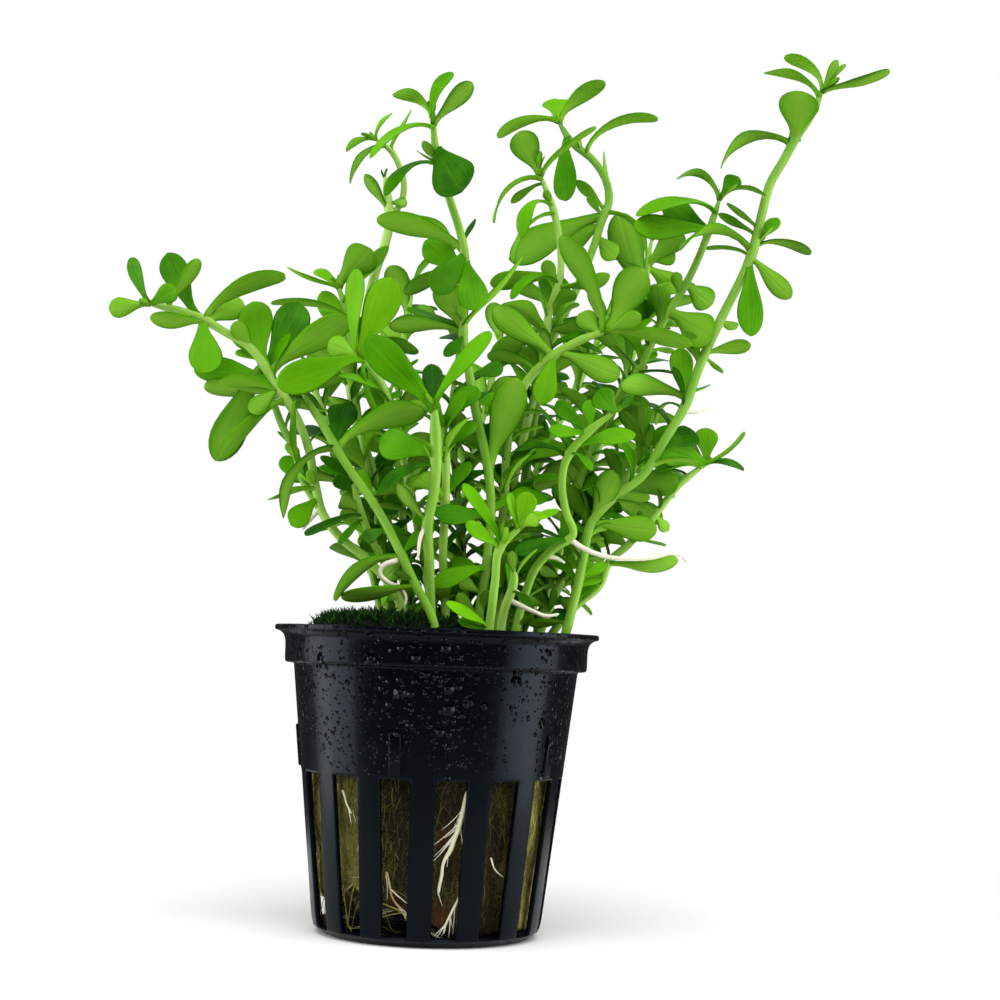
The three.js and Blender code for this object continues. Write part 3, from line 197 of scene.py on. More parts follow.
# Each shoot: where its stem runs in the photograph from foot to tip, how deep the foot and the
# tip stand, its thickness at foot and tip, and its leaves.
# A leaf is [base u, base v, tip u, tip v, width in pixels, depth of the tip past the base, arch].
# pairs is [first, last, count]: leaf pairs set crosswise along those fractions of the stem.
# roots holds the places of each aerial root. Places are pixels, depths and arches millimetres.
SHOOTS = {
    "shoot_tall_right": {
        "depth": [-5, -3], "thick": [1.65, 1.55],
        "stem": [[548, 690], [566, 632], [583, 560], [590, 526], [618, 494], [641, 477], [664, 441],
                 [684, 408], [700, 365], [721, 319], [744, 273], [752, 254], [757, 235], [763, 209],
                 [770, 184], [785, 158], [795, 139], [808, 120], [822, 92]],
        "leaves": [
            [588, 524, 614, 471, 26, -3, 0.5], [592, 526, 657, 530, 26, -4, 0.6],
            [692, 402, 621, 383, 24, -4, 1.8], [692, 396, 709, 385, 3, 5, 0], [680, 408, 656, 425, 4, 3, 2.5],
            [706, 356, 751, 345, 15, -2, 0.5], [704, 358, 722, 373, 5, 4, 0], [719, 322, 737, 328, 10, 5, 0],
            [750, 252, 681, 250, 15, -3, 4.2], [748, 257, 706, 249, 4, 4, 0.8],
            [756, 249, 811, 254, 9, 2, 1.5], [759, 247, 778, 218, 14, 3, 0],
            [753, 260, 791, 298, 20, -2, -0.5], [749, 264, 750, 336, 26, -4, 0],
            [756, 237, 718, 214, 8, 2, 0], [758, 230, 727, 203, 7, -2, 0], [796, 142, 801, 91, 41, -5, 0],
            [790, 144, 721, 168, 16, -2, 4.2], [820, 92, 784, 57, 12, 2, 2], [818, 97, 764, 73, 12, -3, 1.8],
            [822, 92, 838, 60, 10, 0, 0], [823, 91, 844, 64, 6, 3, 0], [822, 92, 890, 71, 11, -2, -0.6],
            [579, 580, 606, 563, 12, 2, 0.3], [578, 590, 600, 579, 8, 2, 0.2],
            [568, 624, 528, 624, 9, 2, 0.2], [684, 406, 680, 348, 24, 4, 0.2],
        ],
        "roots": [[[684, 411], [695, 412], [709, 408]]],
    },
    "shoot_low_right": {
        "depth": [2, 2], "thick": [1.5, 1.2],
        "stem": [[532, 690], [548, 640], [577, 605], [600, 585], [609, 562], [628, 545], [652, 519],
                 [680, 484], [705, 464]],
        "leaves": [
            [704, 463, 660, 446, 32, -5, 0], [702, 464, 672, 428, 22, 4, 0],
            [704, 462, 707, 428, 24, 3, 0], [706, 460, 745, 432, 4, -2, 0.5],
            [706, 464, 744, 469, 10, 3, 0.8], [700, 468, 655, 472, 7, -3, 0.8],
            [688, 477, 655, 489, 5, 3, 2.2], [654, 516, 668, 531, 12, 4, 0],
            [612, 566, 678, 559, 16, -3, -1.4], [634, 540, 666, 545, 3, 2, 0],
            [626, 547, 603, 528, 20, 3, 0],
        ],
    },
    "shoot_curved": {
        "depth": [-7, -16], "thick": [1.5, 1.3],
        "stem": [[507, 690], [514, 640], [524, 598], [537, 566], [556, 547], [573, 535], [566, 512],
                 [562, 485], [566, 460], [586, 434], [614, 412]],
        "leaves": [
            [566, 541, 515, 553, 15, -3, 0.5], [566, 458, 512, 452, 8, 2, 1.5],
            [574, 450, 635, 433, 17, 3, 0.3], [570, 455, 592, 471, 6, -3, 1], [586, 434, 549, 430, 13, -3, 0],
            [586, 432, 556, 402, 17, 4, 0.3], [590, 431, 588, 400, 14, 3, 0],
            [614, 412, 597, 391, 24, -4, 0.4], [612, 413, 634, 396, 8, 2, 0],
            [518, 629, 533, 616, 8, -3, 0.3], [533, 570, 527, 545, 10, 3, 0.3],
            [566, 452, 539, 406, 6, 4, 0.2],
        ],
        "roots": [
            [[571, 540], [581, 547], [608, 557], [627, 559], [652, 558], [675, 554], [683, 557], [687, 563]],
            [[546, 556], [556, 558], [565, 563]],
        ],
    },
    "shoot_right_behind": {
        "depth": [7, -4], "thick": [1.55, 1.2],
        "stem": [[526, 690], [545, 600], [570, 510], [596, 440], [640, 367], [657, 333], [668, 314],
                 [687, 282], [701, 252], [713, 219], [720, 198]],
        "leaves": [
            [719, 200, 677, 179, 12, -3, 3.2], [720, 198, 737, 176, 19, 3, 0],
            [720, 200, 766, 196, 6, -2, 1.8], [714, 212, 636, 216, 10, -3, 2],
            [708, 232, 634, 226, 25, -4, 0], [707, 232, 664, 201, 26, 4, 0],
            [703, 242, 702, 221, 10, 4, 0], [684, 300, 676, 272, 12, -3, 0],
            [686, 286, 712, 305, 26, 3, 0], [668, 313, 712, 338, 38, -7, 0],
            [663, 325, 668, 302, 9, 3, 0.8], [659, 331, 636, 335, 5, -3, 2.3],
            [641, 368, 652, 346, 20, 4, 0],
        ],
        "pairs": [0.3, 0.52, 3],
    },
    "shoot_right_far": {
        "depth": [12, 24], "thick": [1.4, 1.15],
        "stem": [[522, 690], [545, 600], [577, 500], [610, 420], [634, 350], [645, 300], [647, 266],
                 [652, 238]],
        "leaves": [
            [648, 262, 675, 252, 24, -2, 0], [647, 268, 681, 290, 24, 2, 0], [652, 240, 668, 214, 14, 3, 0],
            [640, 304, 618, 213, 37, -6, 0.3],
        ],
        "pairs": [0.3, 0.85, 6],
    },
    "shoot_middle_right": {
        "depth": [-2, -6.5], "thick": [1.55, 1.5],
        "stem": [[497, 690], [499, 600], [504, 500], [512, 420], [526, 383], [556, 354], [581, 340],
                 [606, 331]],
        "leaves": [
            [601, 332, 561, 235, 22, -2, 1.2], [606, 331, 692, 344, 17, -4, 0.1],
            [551, 356, 494, 308, 27, -3, 1.5], [558, 354, 620, 376, 26, -3, -0.3],
            [606, 331, 642, 268, 36, -3, 0.4], [606, 331, 641, 315, 18, -5, 0],
            [598, 334, 580, 313, 22, 3, 0], [604, 332, 656, 304, 22, 5, 0], [516, 412, 500, 378, 26, -2, 0.4],
            [553, 357, 541, 404, 24, -2, 0.4], [548, 359, 537, 345, 11, 2, 0.3],
            [536, 371, 487, 356, 14, 3, 1],
        ],
        "pairs": [0.16, 0.3, 2],
    },
    "shoot_right_top": {
        "depth": [9, 12], "thick": [1.55, 1.3],
        "stem": [[504, 690], [512, 600], [522, 500], [534, 420], [550, 345], [572, 299], [595, 243],
                 [604, 214], [609, 203], [606, 181], [591, 158], [573, 144], [558, 121]],
        "leaves": [
            [560, 124, 605, 82, 19, -2, 2], [558, 121, 556, 99, 31, 6, 0],
            [558, 122, 497, 136, 14, -2, 1.4], [586, 154, 658, 119, 11, -3, 2.6],
            [566, 138, 565, 201, 24, -4, 0], [602, 218, 509, 258, 35, -4, 1], [605, 210, 604, 152, 6, 3, 0],
            [604, 212, 577, 180, 12, -3, 0], [602, 218, 588, 197, 8, -3, 0], [600, 228, 562, 240, 30, 5, 0],
            [598, 238, 616, 258, 22, 5, 0], [608, 214, 645, 266, 9, -2, 3.2],
        ],
        "pairs": [0.2, 0.36, 3],
    },
    "shoot_centre_top": {
        "depth": [2, -2], "thick": [1.5, 1.2],
        "stem": [[485, 690], [494, 600], [510, 500], [528, 420], [546, 352], [548, 317], [560, 277],
                 [555, 216], [541, 176]],
        "leaves": [
            [541, 176, 518, 132, 30, -3, 0.3], [541, 176, 596, 127, 7, -3, 0.5],
            [542, 179, 494, 223, 4, -2, 2.5], [544, 184, 511, 203, 8, 2, 0.5],
            [553, 206, 522, 238, 11, -4, 3.2], [554, 214, 513, 262, 4, -2, 2],
            [559, 280, 490, 284, 18, 3, 0.5], [558, 284, 511, 299, 8, -3, 2.5],
            [556, 294, 546, 260, 15, -3, 0.5], [557, 288, 610, 275, 14, -2, -1],
            [549, 322, 538, 286, 4, -3, 0], [548, 326, 491, 357, 22, 3, 0.3],
            [513, 484, 512, 452, 15, -2, 0.3], [509, 486, 534, 484, 14, -5, 1.2],
            [508, 490, 531, 497, 13, -3, 0.5],
        ],
        "pairs": [0.3, 0.55, 3],
    },
    "shoot_centre": {
        "depth": [-4, -18], "thick": [1.65, 1.3],
        "stem": [[470, 690], [478, 620], [487, 560], [491, 504], [484, 447], [476, 413], [469, 372],
                 [463, 333], [465, 300], [464, 250], [448, 194], [437, 160], [433, 121]],
        "leaves": [
            [434, 124, 452, 72, 13, 0, 1.6], [434, 126, 472, 82, 18, -3, 0], [433, 122, 393, 94, 13, -2, 2.6],
            [433, 128, 370, 158, 7, -3, 1.8], [433, 122, 430, 100, 10, 2, 0], [437, 164, 427, 150, 5, 3, 0],
            [438, 166, 385, 196, 8, -3, 2.2], [440, 150, 463, 191, 44, -7, 0.3],
            [463, 245, 475, 219, 6, 2, 0], [464, 252, 377, 218, 24, -3, 1.2],
            [464, 256, 433, 292, 28, -3, 0.8], [464, 262, 476, 310, 30, -6, 0],
            [464, 270, 404, 293, 16, 2, 0.8], [463, 332, 441, 281, 28, -3, 0],
            [463, 334, 389, 325, 17, -2, 0.6], [463, 330, 407, 308, 8, 3, 0], [464, 338, 444, 356, 12, -3, 1],
            [464, 326, 522, 257, 7, -3, -0.6], [488, 472, 517, 378, 34, -4, 0.3],
            [488, 472, 452, 480, 16, 2, 1], [490, 518, 435, 514, 20, -5, 0.3],
            [488, 571, 433, 586, 18, -4, 1.5], [479, 616, 489, 591, 12, -3, 0.3],
            [478, 619, 457, 594, 14, -3, 0.5], [483, 596, 460, 580, 15, -3, 0.3],
            [470, 378, 503, 366, 16, 3, 0.5], [474, 405, 498, 398, 16, 3, 0.4],
            [462, 276, 426, 240, 30, 4, 0.3],
        ],
    },
    "shoot_left_behind": {
        "depth": [5, 12], "thick": [1.65, 1.65],
        "stem": [[425, 690], [415, 630], [398, 560], [372, 470], [352, 400], [350, 370], [362, 330],
                 [374, 277], [389, 225], [385, 177]],
        "leaves": [
            [389, 220, 455, 248, 19, -3, 2.6], [388, 214, 365, 174, 12, -2, 0],
            [386, 204, 407, 202, 11, -3, 0.3],
        ],
        "pairs": [0.3, 0.6, 4],
    },
    "branch_left_behind": {
        "fork": "shoot_left_behind", "depth": [12, 9], "thick": [1.2, 1.05],
        "stem": [[389, 216], [398, 208], [404, 188], [400, 168], [391, 151], [375, 139]],
        "leaves": [
            [376, 140, 392, 113, 5, 2, 0.6], [375, 139, 361, 133, 4, -2, 0], [375, 140, 346, 150, 10, -3, 1],
            [384, 146, 350, 183, 10, -3, 1.5], [391, 151, 411, 110, 5, 3, 0],
        ],
    },
    "shoot_far_left": {
        "depth": [-6, -6], "thick": [1.55, 1.4],
        "stem": [[412, 690], [408, 640], [395, 592], [365, 558], [340, 537], [322, 512], [315, 484],
                 [309, 450], [297, 418], [278, 388], [247, 345], [223, 331], [205, 320], [148, 303]],
        "leaves": [
            [150, 304, 130, 258, 15, 2, 0], [150, 304, 109, 309, 20, -3, 0.8],
            [152, 304, 176, 288, 20, -5, 0], [168, 309, 199, 259, 16, -2, 0],
            [198, 318, 166, 254, 28, 3, 0.5], [206, 320, 285, 275, 22, -3, 2.2],
            [209, 322, 242, 300, 27, 4, 0], [206, 326, 150, 317, 17, -3, -0.9],
            [205, 320, 206, 373, 33, -6, 0], [272, 388, 195, 367, 27, 4, 0.5],
            [260, 364, 236, 351, 9, 3, 0], [282, 394, 219, 381, 12, -2, 0.8],
            [284, 397, 204, 387, 19, 2, 0.4], [284, 402, 221, 456, 16, -3, 0.8],
            [262, 368, 216, 461, 34, 4, 0.4], [264, 368, 252, 302, 35, 4, 0.4],
            [270, 376, 349, 318, 30, -4, 0.8], [252, 352, 234, 322, 18, -2, 0],
            [276, 392, 250, 412, 20, -3, 0], [318, 500, 290, 524, 22, -3, 0],
            [313, 491, 269, 499, 8, -3, 0.3], [398, 594, 383, 607, 5, -3, 1.5],
            [402, 600, 388, 597, 9, -3, 0.2], [270, 372, 300, 303, 36, 6, 0.3],
            [270, 360, 236, 328, 22, 5, 0.3],
        ],
        "roots": [[[320, 508], [310, 520], [302, 530]]],
    },
    "branch_left": {
        "fork": "shoot_far_left", "depth": [-6, -1], "thick": [1.4, 1.2],
        "stem": [[319, 507], [306, 486], [293, 447], [284, 430], [272, 400], [262, 380]],
        "leaves": [
            [306, 484, 282, 457, 18, 3, 0], [300, 466, 294, 401, 9, -4, 0.5], [294, 450, 278, 431, 4, 2, 0],
            [263, 382, 238, 372, 12, 3, 0], [262, 381, 266, 354, 14, 4, 0],
        ],
    },
    "shoot_front_left": {
        "depth": [-14.5, -12], "thick": [1.5, 1.4],
        "stem": [[440, 690], [430, 612], [417, 588], [402, 556], [382, 517], [341, 456], [326, 430],
                 [302, 392]],
        "leaves": [
            [338, 450, 425, 410, 27, -3, 2.5], [336, 447, 283, 518, 12, -3, 3],
            [336, 446, 345, 403, 30, 5, 0.5], [403, 558, 334, 600, 16, -3, 2.5],
            [404, 560, 386, 578, 18, 4, 0], [416, 588, 341, 597, 15, 3, -0.3],
            [305, 394, 342, 378, 12, 1, 0.8], [402, 556, 424, 530, 12, 4, 0],
            [388, 530, 364, 538, 15, 5, 0.3],
        ],
        "roots": [[[398, 560], [382, 567], [380, 573], [388, 582], [401, 588], [406, 596], [405, 607]]],
    },
    "shoot_centre_front": {
        "depth": [-9, -22], "thick": [1.65, 1.9],
        "stem": [[434, 690], [431, 620], [429, 560], [428, 521], [434, 491], [436, 452], [434, 406]],
        "leaves": [
            [434, 410, 366, 337, 33, -4, 1.5], [435, 412, 400, 363, 14, 3, 0],
            [434, 407, 491, 332, 17, -3, 0.6], [436, 456, 380, 440, 32, 4, 1],
            [435, 466, 376, 494, 14, 3, 1.5], [428, 523, 397, 483, 13, -3, -0.5],
            [434, 406, 432, 364, 20, 4, 0],
        ],
        "roots": [[[428, 524], [421, 536], [418, 558]]],
    },
    "shoot_centre_short": {
        "depth": [-3, -13], "thick": [1.4, 1.4],
        "stem": [[450, 690], [446, 620], [443, 556], [445, 506], [446, 463], [443, 425]],
        "leaves": [
            [444, 540, 420, 560, 12, 3, 0.8], [445, 500, 470, 462, 13, 3, 0.3],
            [446, 611, 441, 581, 18, -5, 0.4], [445, 596, 468, 584, 12, -2, 0.4],
            [444, 437, 466, 391, 13, -2, 0.4], [447, 452, 477, 421, 13, 3, 0.3],
        ],
        "pairs": [0.62, 1, 3],
    },
    "shoot_front_bright": {
        "depth": [-17, -26], "thick": [1.5, 1.3],
        "stem": [[478, 690], [491, 615], [495, 582], [500, 548], [521, 527]],
        "leaves": [
            [519, 529, 529, 492, 20, -2, 0], [517, 531, 509, 493, 8, -2, 0], [521, 527, 538, 517, 14, -5, 0],
            [521, 527, 558, 509, 8, 3, 0], [500, 548, 463, 484, 13, -2, 0.6],
            [500, 550, 466, 523, 14, -4, 0.4], [489, 630, 446, 603, 11, -4, 0.2],
            [488, 632, 458, 620, 9, -1, 0],
        ],
    },
    "shoot_front_low": {
        "depth": [-12, -18], "thick": [1.5, 1.4],
        "stem": [[500, 690], [503, 615], [514, 578], [512, 560]],
        "leaves": [
            [514, 576, 511, 551, 12, -4, 0], [514, 580, 537, 549, 5, -3, 0.5],
            [510, 592, 532, 606, 8, -3, 0.5], [506, 602, 509, 562, 10, 3, 0.3],
        ],
        "roots": [[[509, 600], [530, 610], [548, 616], [559, 614]]],
    },
    "shoot_right_inner": {
        "depth": [-3, 4], "thick": [1.4, 1.3],
        "stem": [[524, 690], [545, 620], [572, 560], [600, 510], [628, 475], [645, 452]],
        "leaves": [
            [642, 456, 632, 394, 34, -3, 0.3], [632, 470, 664, 489, 13, 3, 0],
            [612, 496, 650, 499, 12, 3, 0.5], [600, 510, 586, 470, 18, 4, 0], [644, 453, 668, 425, 12, 4, 0],
            [549, 611, 523, 599, 11, -4, 0.4], [547, 616, 556, 588, 9, -4, 0],
            [563, 580, 540, 569, 12, -3, 0.4], [561, 584, 573, 554, 10, -3, 0.3],
            [630, 473, 652, 424, 14, -1, 0.2],
        ],
        "pairs": [0.5, 0.9, 3],
    },
    "shoot_left_upper": {
        "depth": [4, 7.5], "thick": [1.4, 1.2],
        "stem": [[398, 690], [396, 640], [384, 560], [368, 470], [356, 400], [352, 345], [346, 311],
                 [337, 283]],
        "leaves": [
            [338, 288, 287, 267, 4, -2, -0.6], [342, 292, 315, 270, 12, 3, 0.8],
            [338, 286, 370, 248, 35, -4, 0.4], [348, 318, 271, 303, 9, -3, 1.2],
            [352, 345, 321, 292, 24, 3, 0], [344, 304, 389, 246, 14, 3, 0.5],
        ],
        "pairs": [0.3, 0.6, 3],
    },
    "shoot_left_centre": {
        "depth": [5, -12], "thick": [1.4, 1.2],
        "stem": [[440, 690], [430, 600], [412, 500], [396, 430], [378, 377], [359, 356]],
        "leaves": [
            [359, 356, 357, 269, 17, -4, 0.3], [361, 357, 392, 278, 35, -3, 0.6],
            [360, 357, 328, 343, 23, -4, 0], [361, 358, 277, 385, 33, -4, 0.9],
            [364, 362, 381, 420, 7, -3, 0.8], [365, 372, 383, 408, 20, 3, 0.3],
        ],
        "pairs": [0.4, 0.7, 3],
    },
    "shoot_back_left": {
        "depth": [9, 26], "thick": [1.5, 1.15],
        "stem": [[390, 690], [382, 620], [364, 540], [343, 470], [322, 410], [306, 366]],
        "pairs": [0.32, 1, 7],
    },
    "shoot_back_centre_left": {
        "depth": [14, 30], "thick": [1.5, 1.15],
        "stem": [[415, 690], [412, 600], [402, 510], [398, 420], [404, 340], [412, 292]],
        "pairs": [0.3, 1, 8],
    },
    "shoot_back_centre": {
        "depth": [17, 40], "thick": [1.5, 1.15],
        "stem": [[452, 690], [455, 600], [464, 500], [482, 420], [500, 345]],
        "pairs": [0.3, 1, 7],
    },
    "shoot_back_right": {
        "depth": [16, 36], "thick": [1.5, 1.15],
        "stem": [[484, 690], [498, 600], [525, 500], [560, 420], [590, 360], [606, 318]],
        "pairs": [0.3, 1, 8],
    },
    "shoot_back_low_right": {
        "depth": [12, 30], "thick": [1.4, 1.15],
        "stem": [[506, 690], [532, 610], [568, 550], [606, 500], [640, 468]],
        "pairs": [0.34, 1, 6],
    },
    "shoot_left_low": {
        "depth": [0.8, 1.2], "thick": [1.4, 1.15],
        "stem": [[384, 690], [386, 640], [388, 600], [385, 565], [379, 530], [376, 496]],
        "leaves": [
            [384, 556, 362, 533, 22, -2, 0.3], [379, 524, 354, 500, 20, 3, 0.3],
            [378, 520, 399, 496, 20, 2, 0.3], [386, 576, 406, 548, 18, 2, 0.3],
            [376, 497, 394, 468, 20, 2, 0.3], [376, 497, 356, 472, 18, 3, 0.3],
        ],
    },
    "shoot_front_inner": {
        "depth": [-2, -8], "thick": [1.4, 1.2],
        "stem": [[426, 690], [412, 630], [396, 590], [381, 556], [371, 538], [362, 515], [352, 480]],
        "leaves": [
            [362, 516, 305, 535, 7, -5, 0.3], [362, 520, 339, 545, 8, -4, 0.2],
            [364, 512, 341, 498, 19, -4, 0.6], [356, 496, 336, 476, 17, 3, 0.3],
            [352, 484, 321, 456, 11, 1, 0.4], [398, 594, 420, 566, 18, 2, 0.3],
        ],
    },
    "shoot_middle": {
        "depth": [5, 7], "thick": [1.4, 1.2],
        "stem": [[464, 690], [466, 620], [462, 550], [456, 480], [452, 420], [455, 372]],
        "pairs": [0.4, 1, 5],
    },
}

# Places of the roots behind the slats
SLOT_ROOTS = {
    "root_main": [[469, 790], [457, 830], [447, 854], [437, 895]],
    "root_main_lower": [[463, 880], [458, 900], [451, 912], [443, 934]],
    "root_left": [[342, 790], [351, 814]],
    "root_middle": [[385, 872], [394, 900], [410, 922]],
    "root_right": [[490, 858], [494, 868], [503, 878]],
}

# How light and yellow each shoot's leaves are, from 0 for old shaded leaves to 1 for new growth. This is
# partly the real darker green of older leaves and paler new growth, and partly painted shade: set lower for
# shoots at the back and in the middle of the tangle, higher for front-lit ones
TONES = {
    "shoot_front_bright": 0.6, "shoot_centre_top": 0.5, "shoot_centre": 0.36, "shoot_far_left": 0.48,
    "shoot_left_centre": 0.66, "shoot_left_upper": 0.58, "shoot_centre_front": 0.24,
    "shoot_front_left": 0.32, "shoot_back_left": 0.22, "shoot_back_centre_left": 0.22,
    "shoot_back_centre": 0.22, "shoot_back_right": 0.25, "shoot_back_low_right": 0.25,
    "shoot_left_low": 0.3, "shoot_front_inner": 0.34, "shoot_middle": 0.16, "shoot_curved": 0.24,
    "shoot_front_low": 0.2, "shoot_right_top": 0.54, "shoot_centre_short": 0.5, "branch_left": 0.55,
    "shoot_left_behind": 0.3,
}
USUAL_TONE = 0.4


def unit(vector):
    """The vector at length 1."""
    return vector / np.linalg.norm(vector)


def across(vector, axis):
    """The part of a vector that is square to an axis, at length 1."""
    return unit(vector - np.dot(vector, axis) * axis)


def chance(seed):
    """Steady pseudo-random number from 0 to 1."""
    value = math.sin(seed * 12.9898 + 78.233) * 43758.5453
    return value - math.floor(value)


# Directions of the photograph's camera
EYE = np.array([0, -VIEW_DISTANCE, VIEW_HEIGHT])
AHEAD = np.array([
    math.sin(VIEW_YAW) * math.cos(VIEW_PITCH),
    math.cos(VIEW_YAW) * math.cos(VIEW_PITCH),
    math.sin(VIEW_PITCH),
])
LEVEL = np.array([math.cos(VIEW_YAW), -math.sin(VIEW_YAW), 0])
ABOVE = np.cross(LEVEL, AHEAD)
RIGHTWARD = LEVEL * math.cos(VIEW_ROLL) + ABOVE * math.sin(VIEW_ROLL)
UPWARD = ABOVE * math.cos(VIEW_ROLL) - LEVEL * math.sin(VIEW_ROLL)


def traced(u, v, y):
    """The point that shows at pixel (u, v) and stands at depth y behind the pot's axis."""
    ray = AHEAD + RIGHTWARD * (u - VIEW_CENTRE) / VIEW_FOCAL + UPWARD * (VIEW_CENTRE - v) / VIEW_FOCAL
    return EYE + ray * (y + VIEW_DISTANCE) / ray[1]


def wall_radius(z):
    """Outer radius of the pot's wall at a height."""
    return WALL_FOOT_RADIUS + (WALL_TOP_RADIUS - WALL_FOOT_RADIUS) * z / COLLAR_FOOT


# Lines of stems and roots

def runs_along(line):
    """Length run from a line's first point to each of its points."""
    return np.concatenate([[0], np.cumsum(np.linalg.norm(np.diff(line, axis=0), axis=1))])


def stem_line(shoot):
    """The traced places of a stem in space, with depth gained faster towards the tip."""
    pixels = np.array(shoot["stem"], float)
    runs = runs_along(pixels)
    foot, tip = shoot["depth"]
    depths = foot + (tip - foot) * (runs / runs[-1]) ** DEPTH_CURVE
    return np.array([traced(u, v, y) for (u, v), y in zip(pixels, depths)])


def nearest_on_stem(shoot, u, v):
    """Place along the stem, counted in its points, that lies nearest to a pixel."""
    best = (math.inf, 0)
    stem = np.array(shoot["stem"], float)
    for i, (start, end) in enumerate(zip(stem, stem[1:])):
        run = end - start
        part = min(1, max(0, np.dot([u, v] - start, run) / np.dot(run, run)))
        best = min(best, (float(np.linalg.norm(start + part * run - [u, v])), i + part))
    return best[1]


def on_line(line, place):
    """Point and direction at a place along straight stretches."""
    i = min(int(place), len(line) - 2)
    return line[i] + (line[i + 1] - line[i]) * (place - i), unit(line[i + 1] - line[i])


def smooth_line(line, places):
    """Points of the smooth curve through a line's points, at places counted in those points."""
    knots = runs_along(line)
    slopes = np.gradient(line, knots, axis=0)
    i = np.clip(np.floor(places).astype(int), 0, len(line) - 2)
    part = (places - i)[:, None]
    run = (knots[i + 1] - knots[i])[:, None]
    return (
        (2 * part ** 3 - 3 * part ** 2 + 1) * line[i]
        + (part ** 3 - 2 * part ** 2 + part) * run * slopes[i]
        + (3 * part ** 2 - 2 * part ** 3) * line[i + 1]
        + (part ** 3 - part ** 2) * run * slopes[i + 1]
    )


# Leaf poses

def traced_leaf(shoot, line, row, shift):
    """Pose of a leaf read from the photograph, its tip pushed back by shift."""
    base_u, base_v, tip_u, tip_v, width_pixels, depth, arch = row
    place = nearest_on_stem(shoot, base_u, base_v)
    base, along = on_line(line, place)
    tip = traced(tip_u, tip_v, base[1] + depth + shift)
    axis = unit(tip - base)
    shown = width_pixels * PIXEL_MM
    width = max(shown, LEAST_ASPECT * np.linalg.norm(tip - base))
    facing = min(1, shown / width)
    sight = across(EYE - base, axis)
    edge = np.cross(axis, sight)
    tilt = math.sqrt(1 - facing * facing)
    top = across(along, axis)
    normals = [a * facing * sight + b * tilt * edge for a, b in ((1, 1), (1, -1), (-1, 1), (-1, -1))]
    normal = max(normals, key=lambda each: np.dot(each, top))
    return {"place": place, "base": base, "tip": tip, "normal": normal,
            "width": width, "arch": arch, "along": along}


def pair_leaf(line, place, index, seed, shift, tipward):
    """Pose of a leaf in a crosswise pair, turned about the stem by shift."""
    base, along = on_line(line, place)
    side = unit(np.cross([0, 1, 0], along))
    back = np.cross(along, side)
    turn = math.radians(FIRST_TURN + PAIR_STEP * (index // 2) + 180 * (index % 2)
                        + TURN_VARIES * (chance(seed) - 0.5) + DEGREES_PER_SHIFT * shift)
    out = side * math.cos(turn) + back * math.sin(turn)
    spread = math.radians(PAIR_SPREAD - TIP_SPREAD_LOSS * tipward
                          + SPREAD_VARIES * (chance(seed + 0.3) - 0.5))
    length = LEAF_LENGTH * (0.82 + 0.36 * chance(seed + 0.6)) * (1 - 0.25 * tipward)
    tip = base + length * (out * math.sin(spread) + along * math.cos(spread) - np.array([0, 0, 0.12]))
    axis = unit(tip - base)
    roll = math.radians(ROLL_VARIES * (chance(seed + 0.9) - 0.5))
    normal = across(along, axis) * math.cos(roll) + np.cross(axis, across(along, axis)) * math.sin(roll)
    return {"place": place, "base": base, "tip": tip, "normal": normal,
            "width": LEAF_ASPECT * length, "arch": PAIR_ARCH * length, "along": along}


def grown_leaf(tree, pose_at):
    """The pose, of those that the part tries, whose tip is a corner of its solid, or None if it has none."""
    poses = [pose_at(shift) for shift in LEAF_SHIFTS]
    gaps = [tree.find(pose["tip"] * MM)[2] for pose in poses]
    best = int(np.argmin(gaps))
    return poses[best] if gaps[best] < TIP_MATCH * MM else None


def corner_tree(node):
    """Search tree over the corners of a CAD node."""
    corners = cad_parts[node].data.vertices
    tree = kdtree.KDTree(len(corners))
    for i, corner in enumerate(corners):
        tree.insert(corner.co, i)
    tree.balance()
    return tree


# Modelling with Blender's tools

def deselect_all():
    """Leaves edit mode and deselects every object."""
    if bpy.context.object and bpy.context.object.mode != "OBJECT":
        bpy.ops.object.mode_set(mode="OBJECT")
    bpy.ops.object.select_all(action="DESELECT")


def loft(stations, sides):
    """Closed form along +Y, drawn out of a disc by stations of (y, half width, half thickness)."""
    deselect_all()
    y, width, thickness = stations[0]
    bpy.ops.mesh.primitive_circle_add(vertices=sides, radius=1, fill_type="NGON",
                                      rotation=(math.pi / 2, 0, 0))
    form = bpy.context.object
    bpy.ops.object.transform_apply(location=False, rotation=True, scale=False)
    bpy.ops.object.mode_set(mode="EDIT")
    bpy.ops.mesh.select_all(action="SELECT")
    bpy.ops.transform.resize(value=(width, 1, thickness), center_override=(0, 0, 0))
    bpy.ops.transform.translate(value=(0, y, 0))
    for (y0, width0, thickness0), (y1, width1, thickness1) in zip(stations, stations[1:]):
        bpy.ops.mesh.extrude_region_move(TRANSFORM_OT_translate={"value": (0, y1 - y0, 0)})
        stretch = (width1 / width0, 1, thickness1 / thickness0)
        bpy.ops.transform.resize(value=stretch, center_override=(0, y1, 0))
    bpy.ops.mesh.select_all(action="SELECT")
    bpy.ops.mesh.normals_make_consistent(inside=False)
    bpy.ops.object.mode_set(mode="OBJECT")
    return form


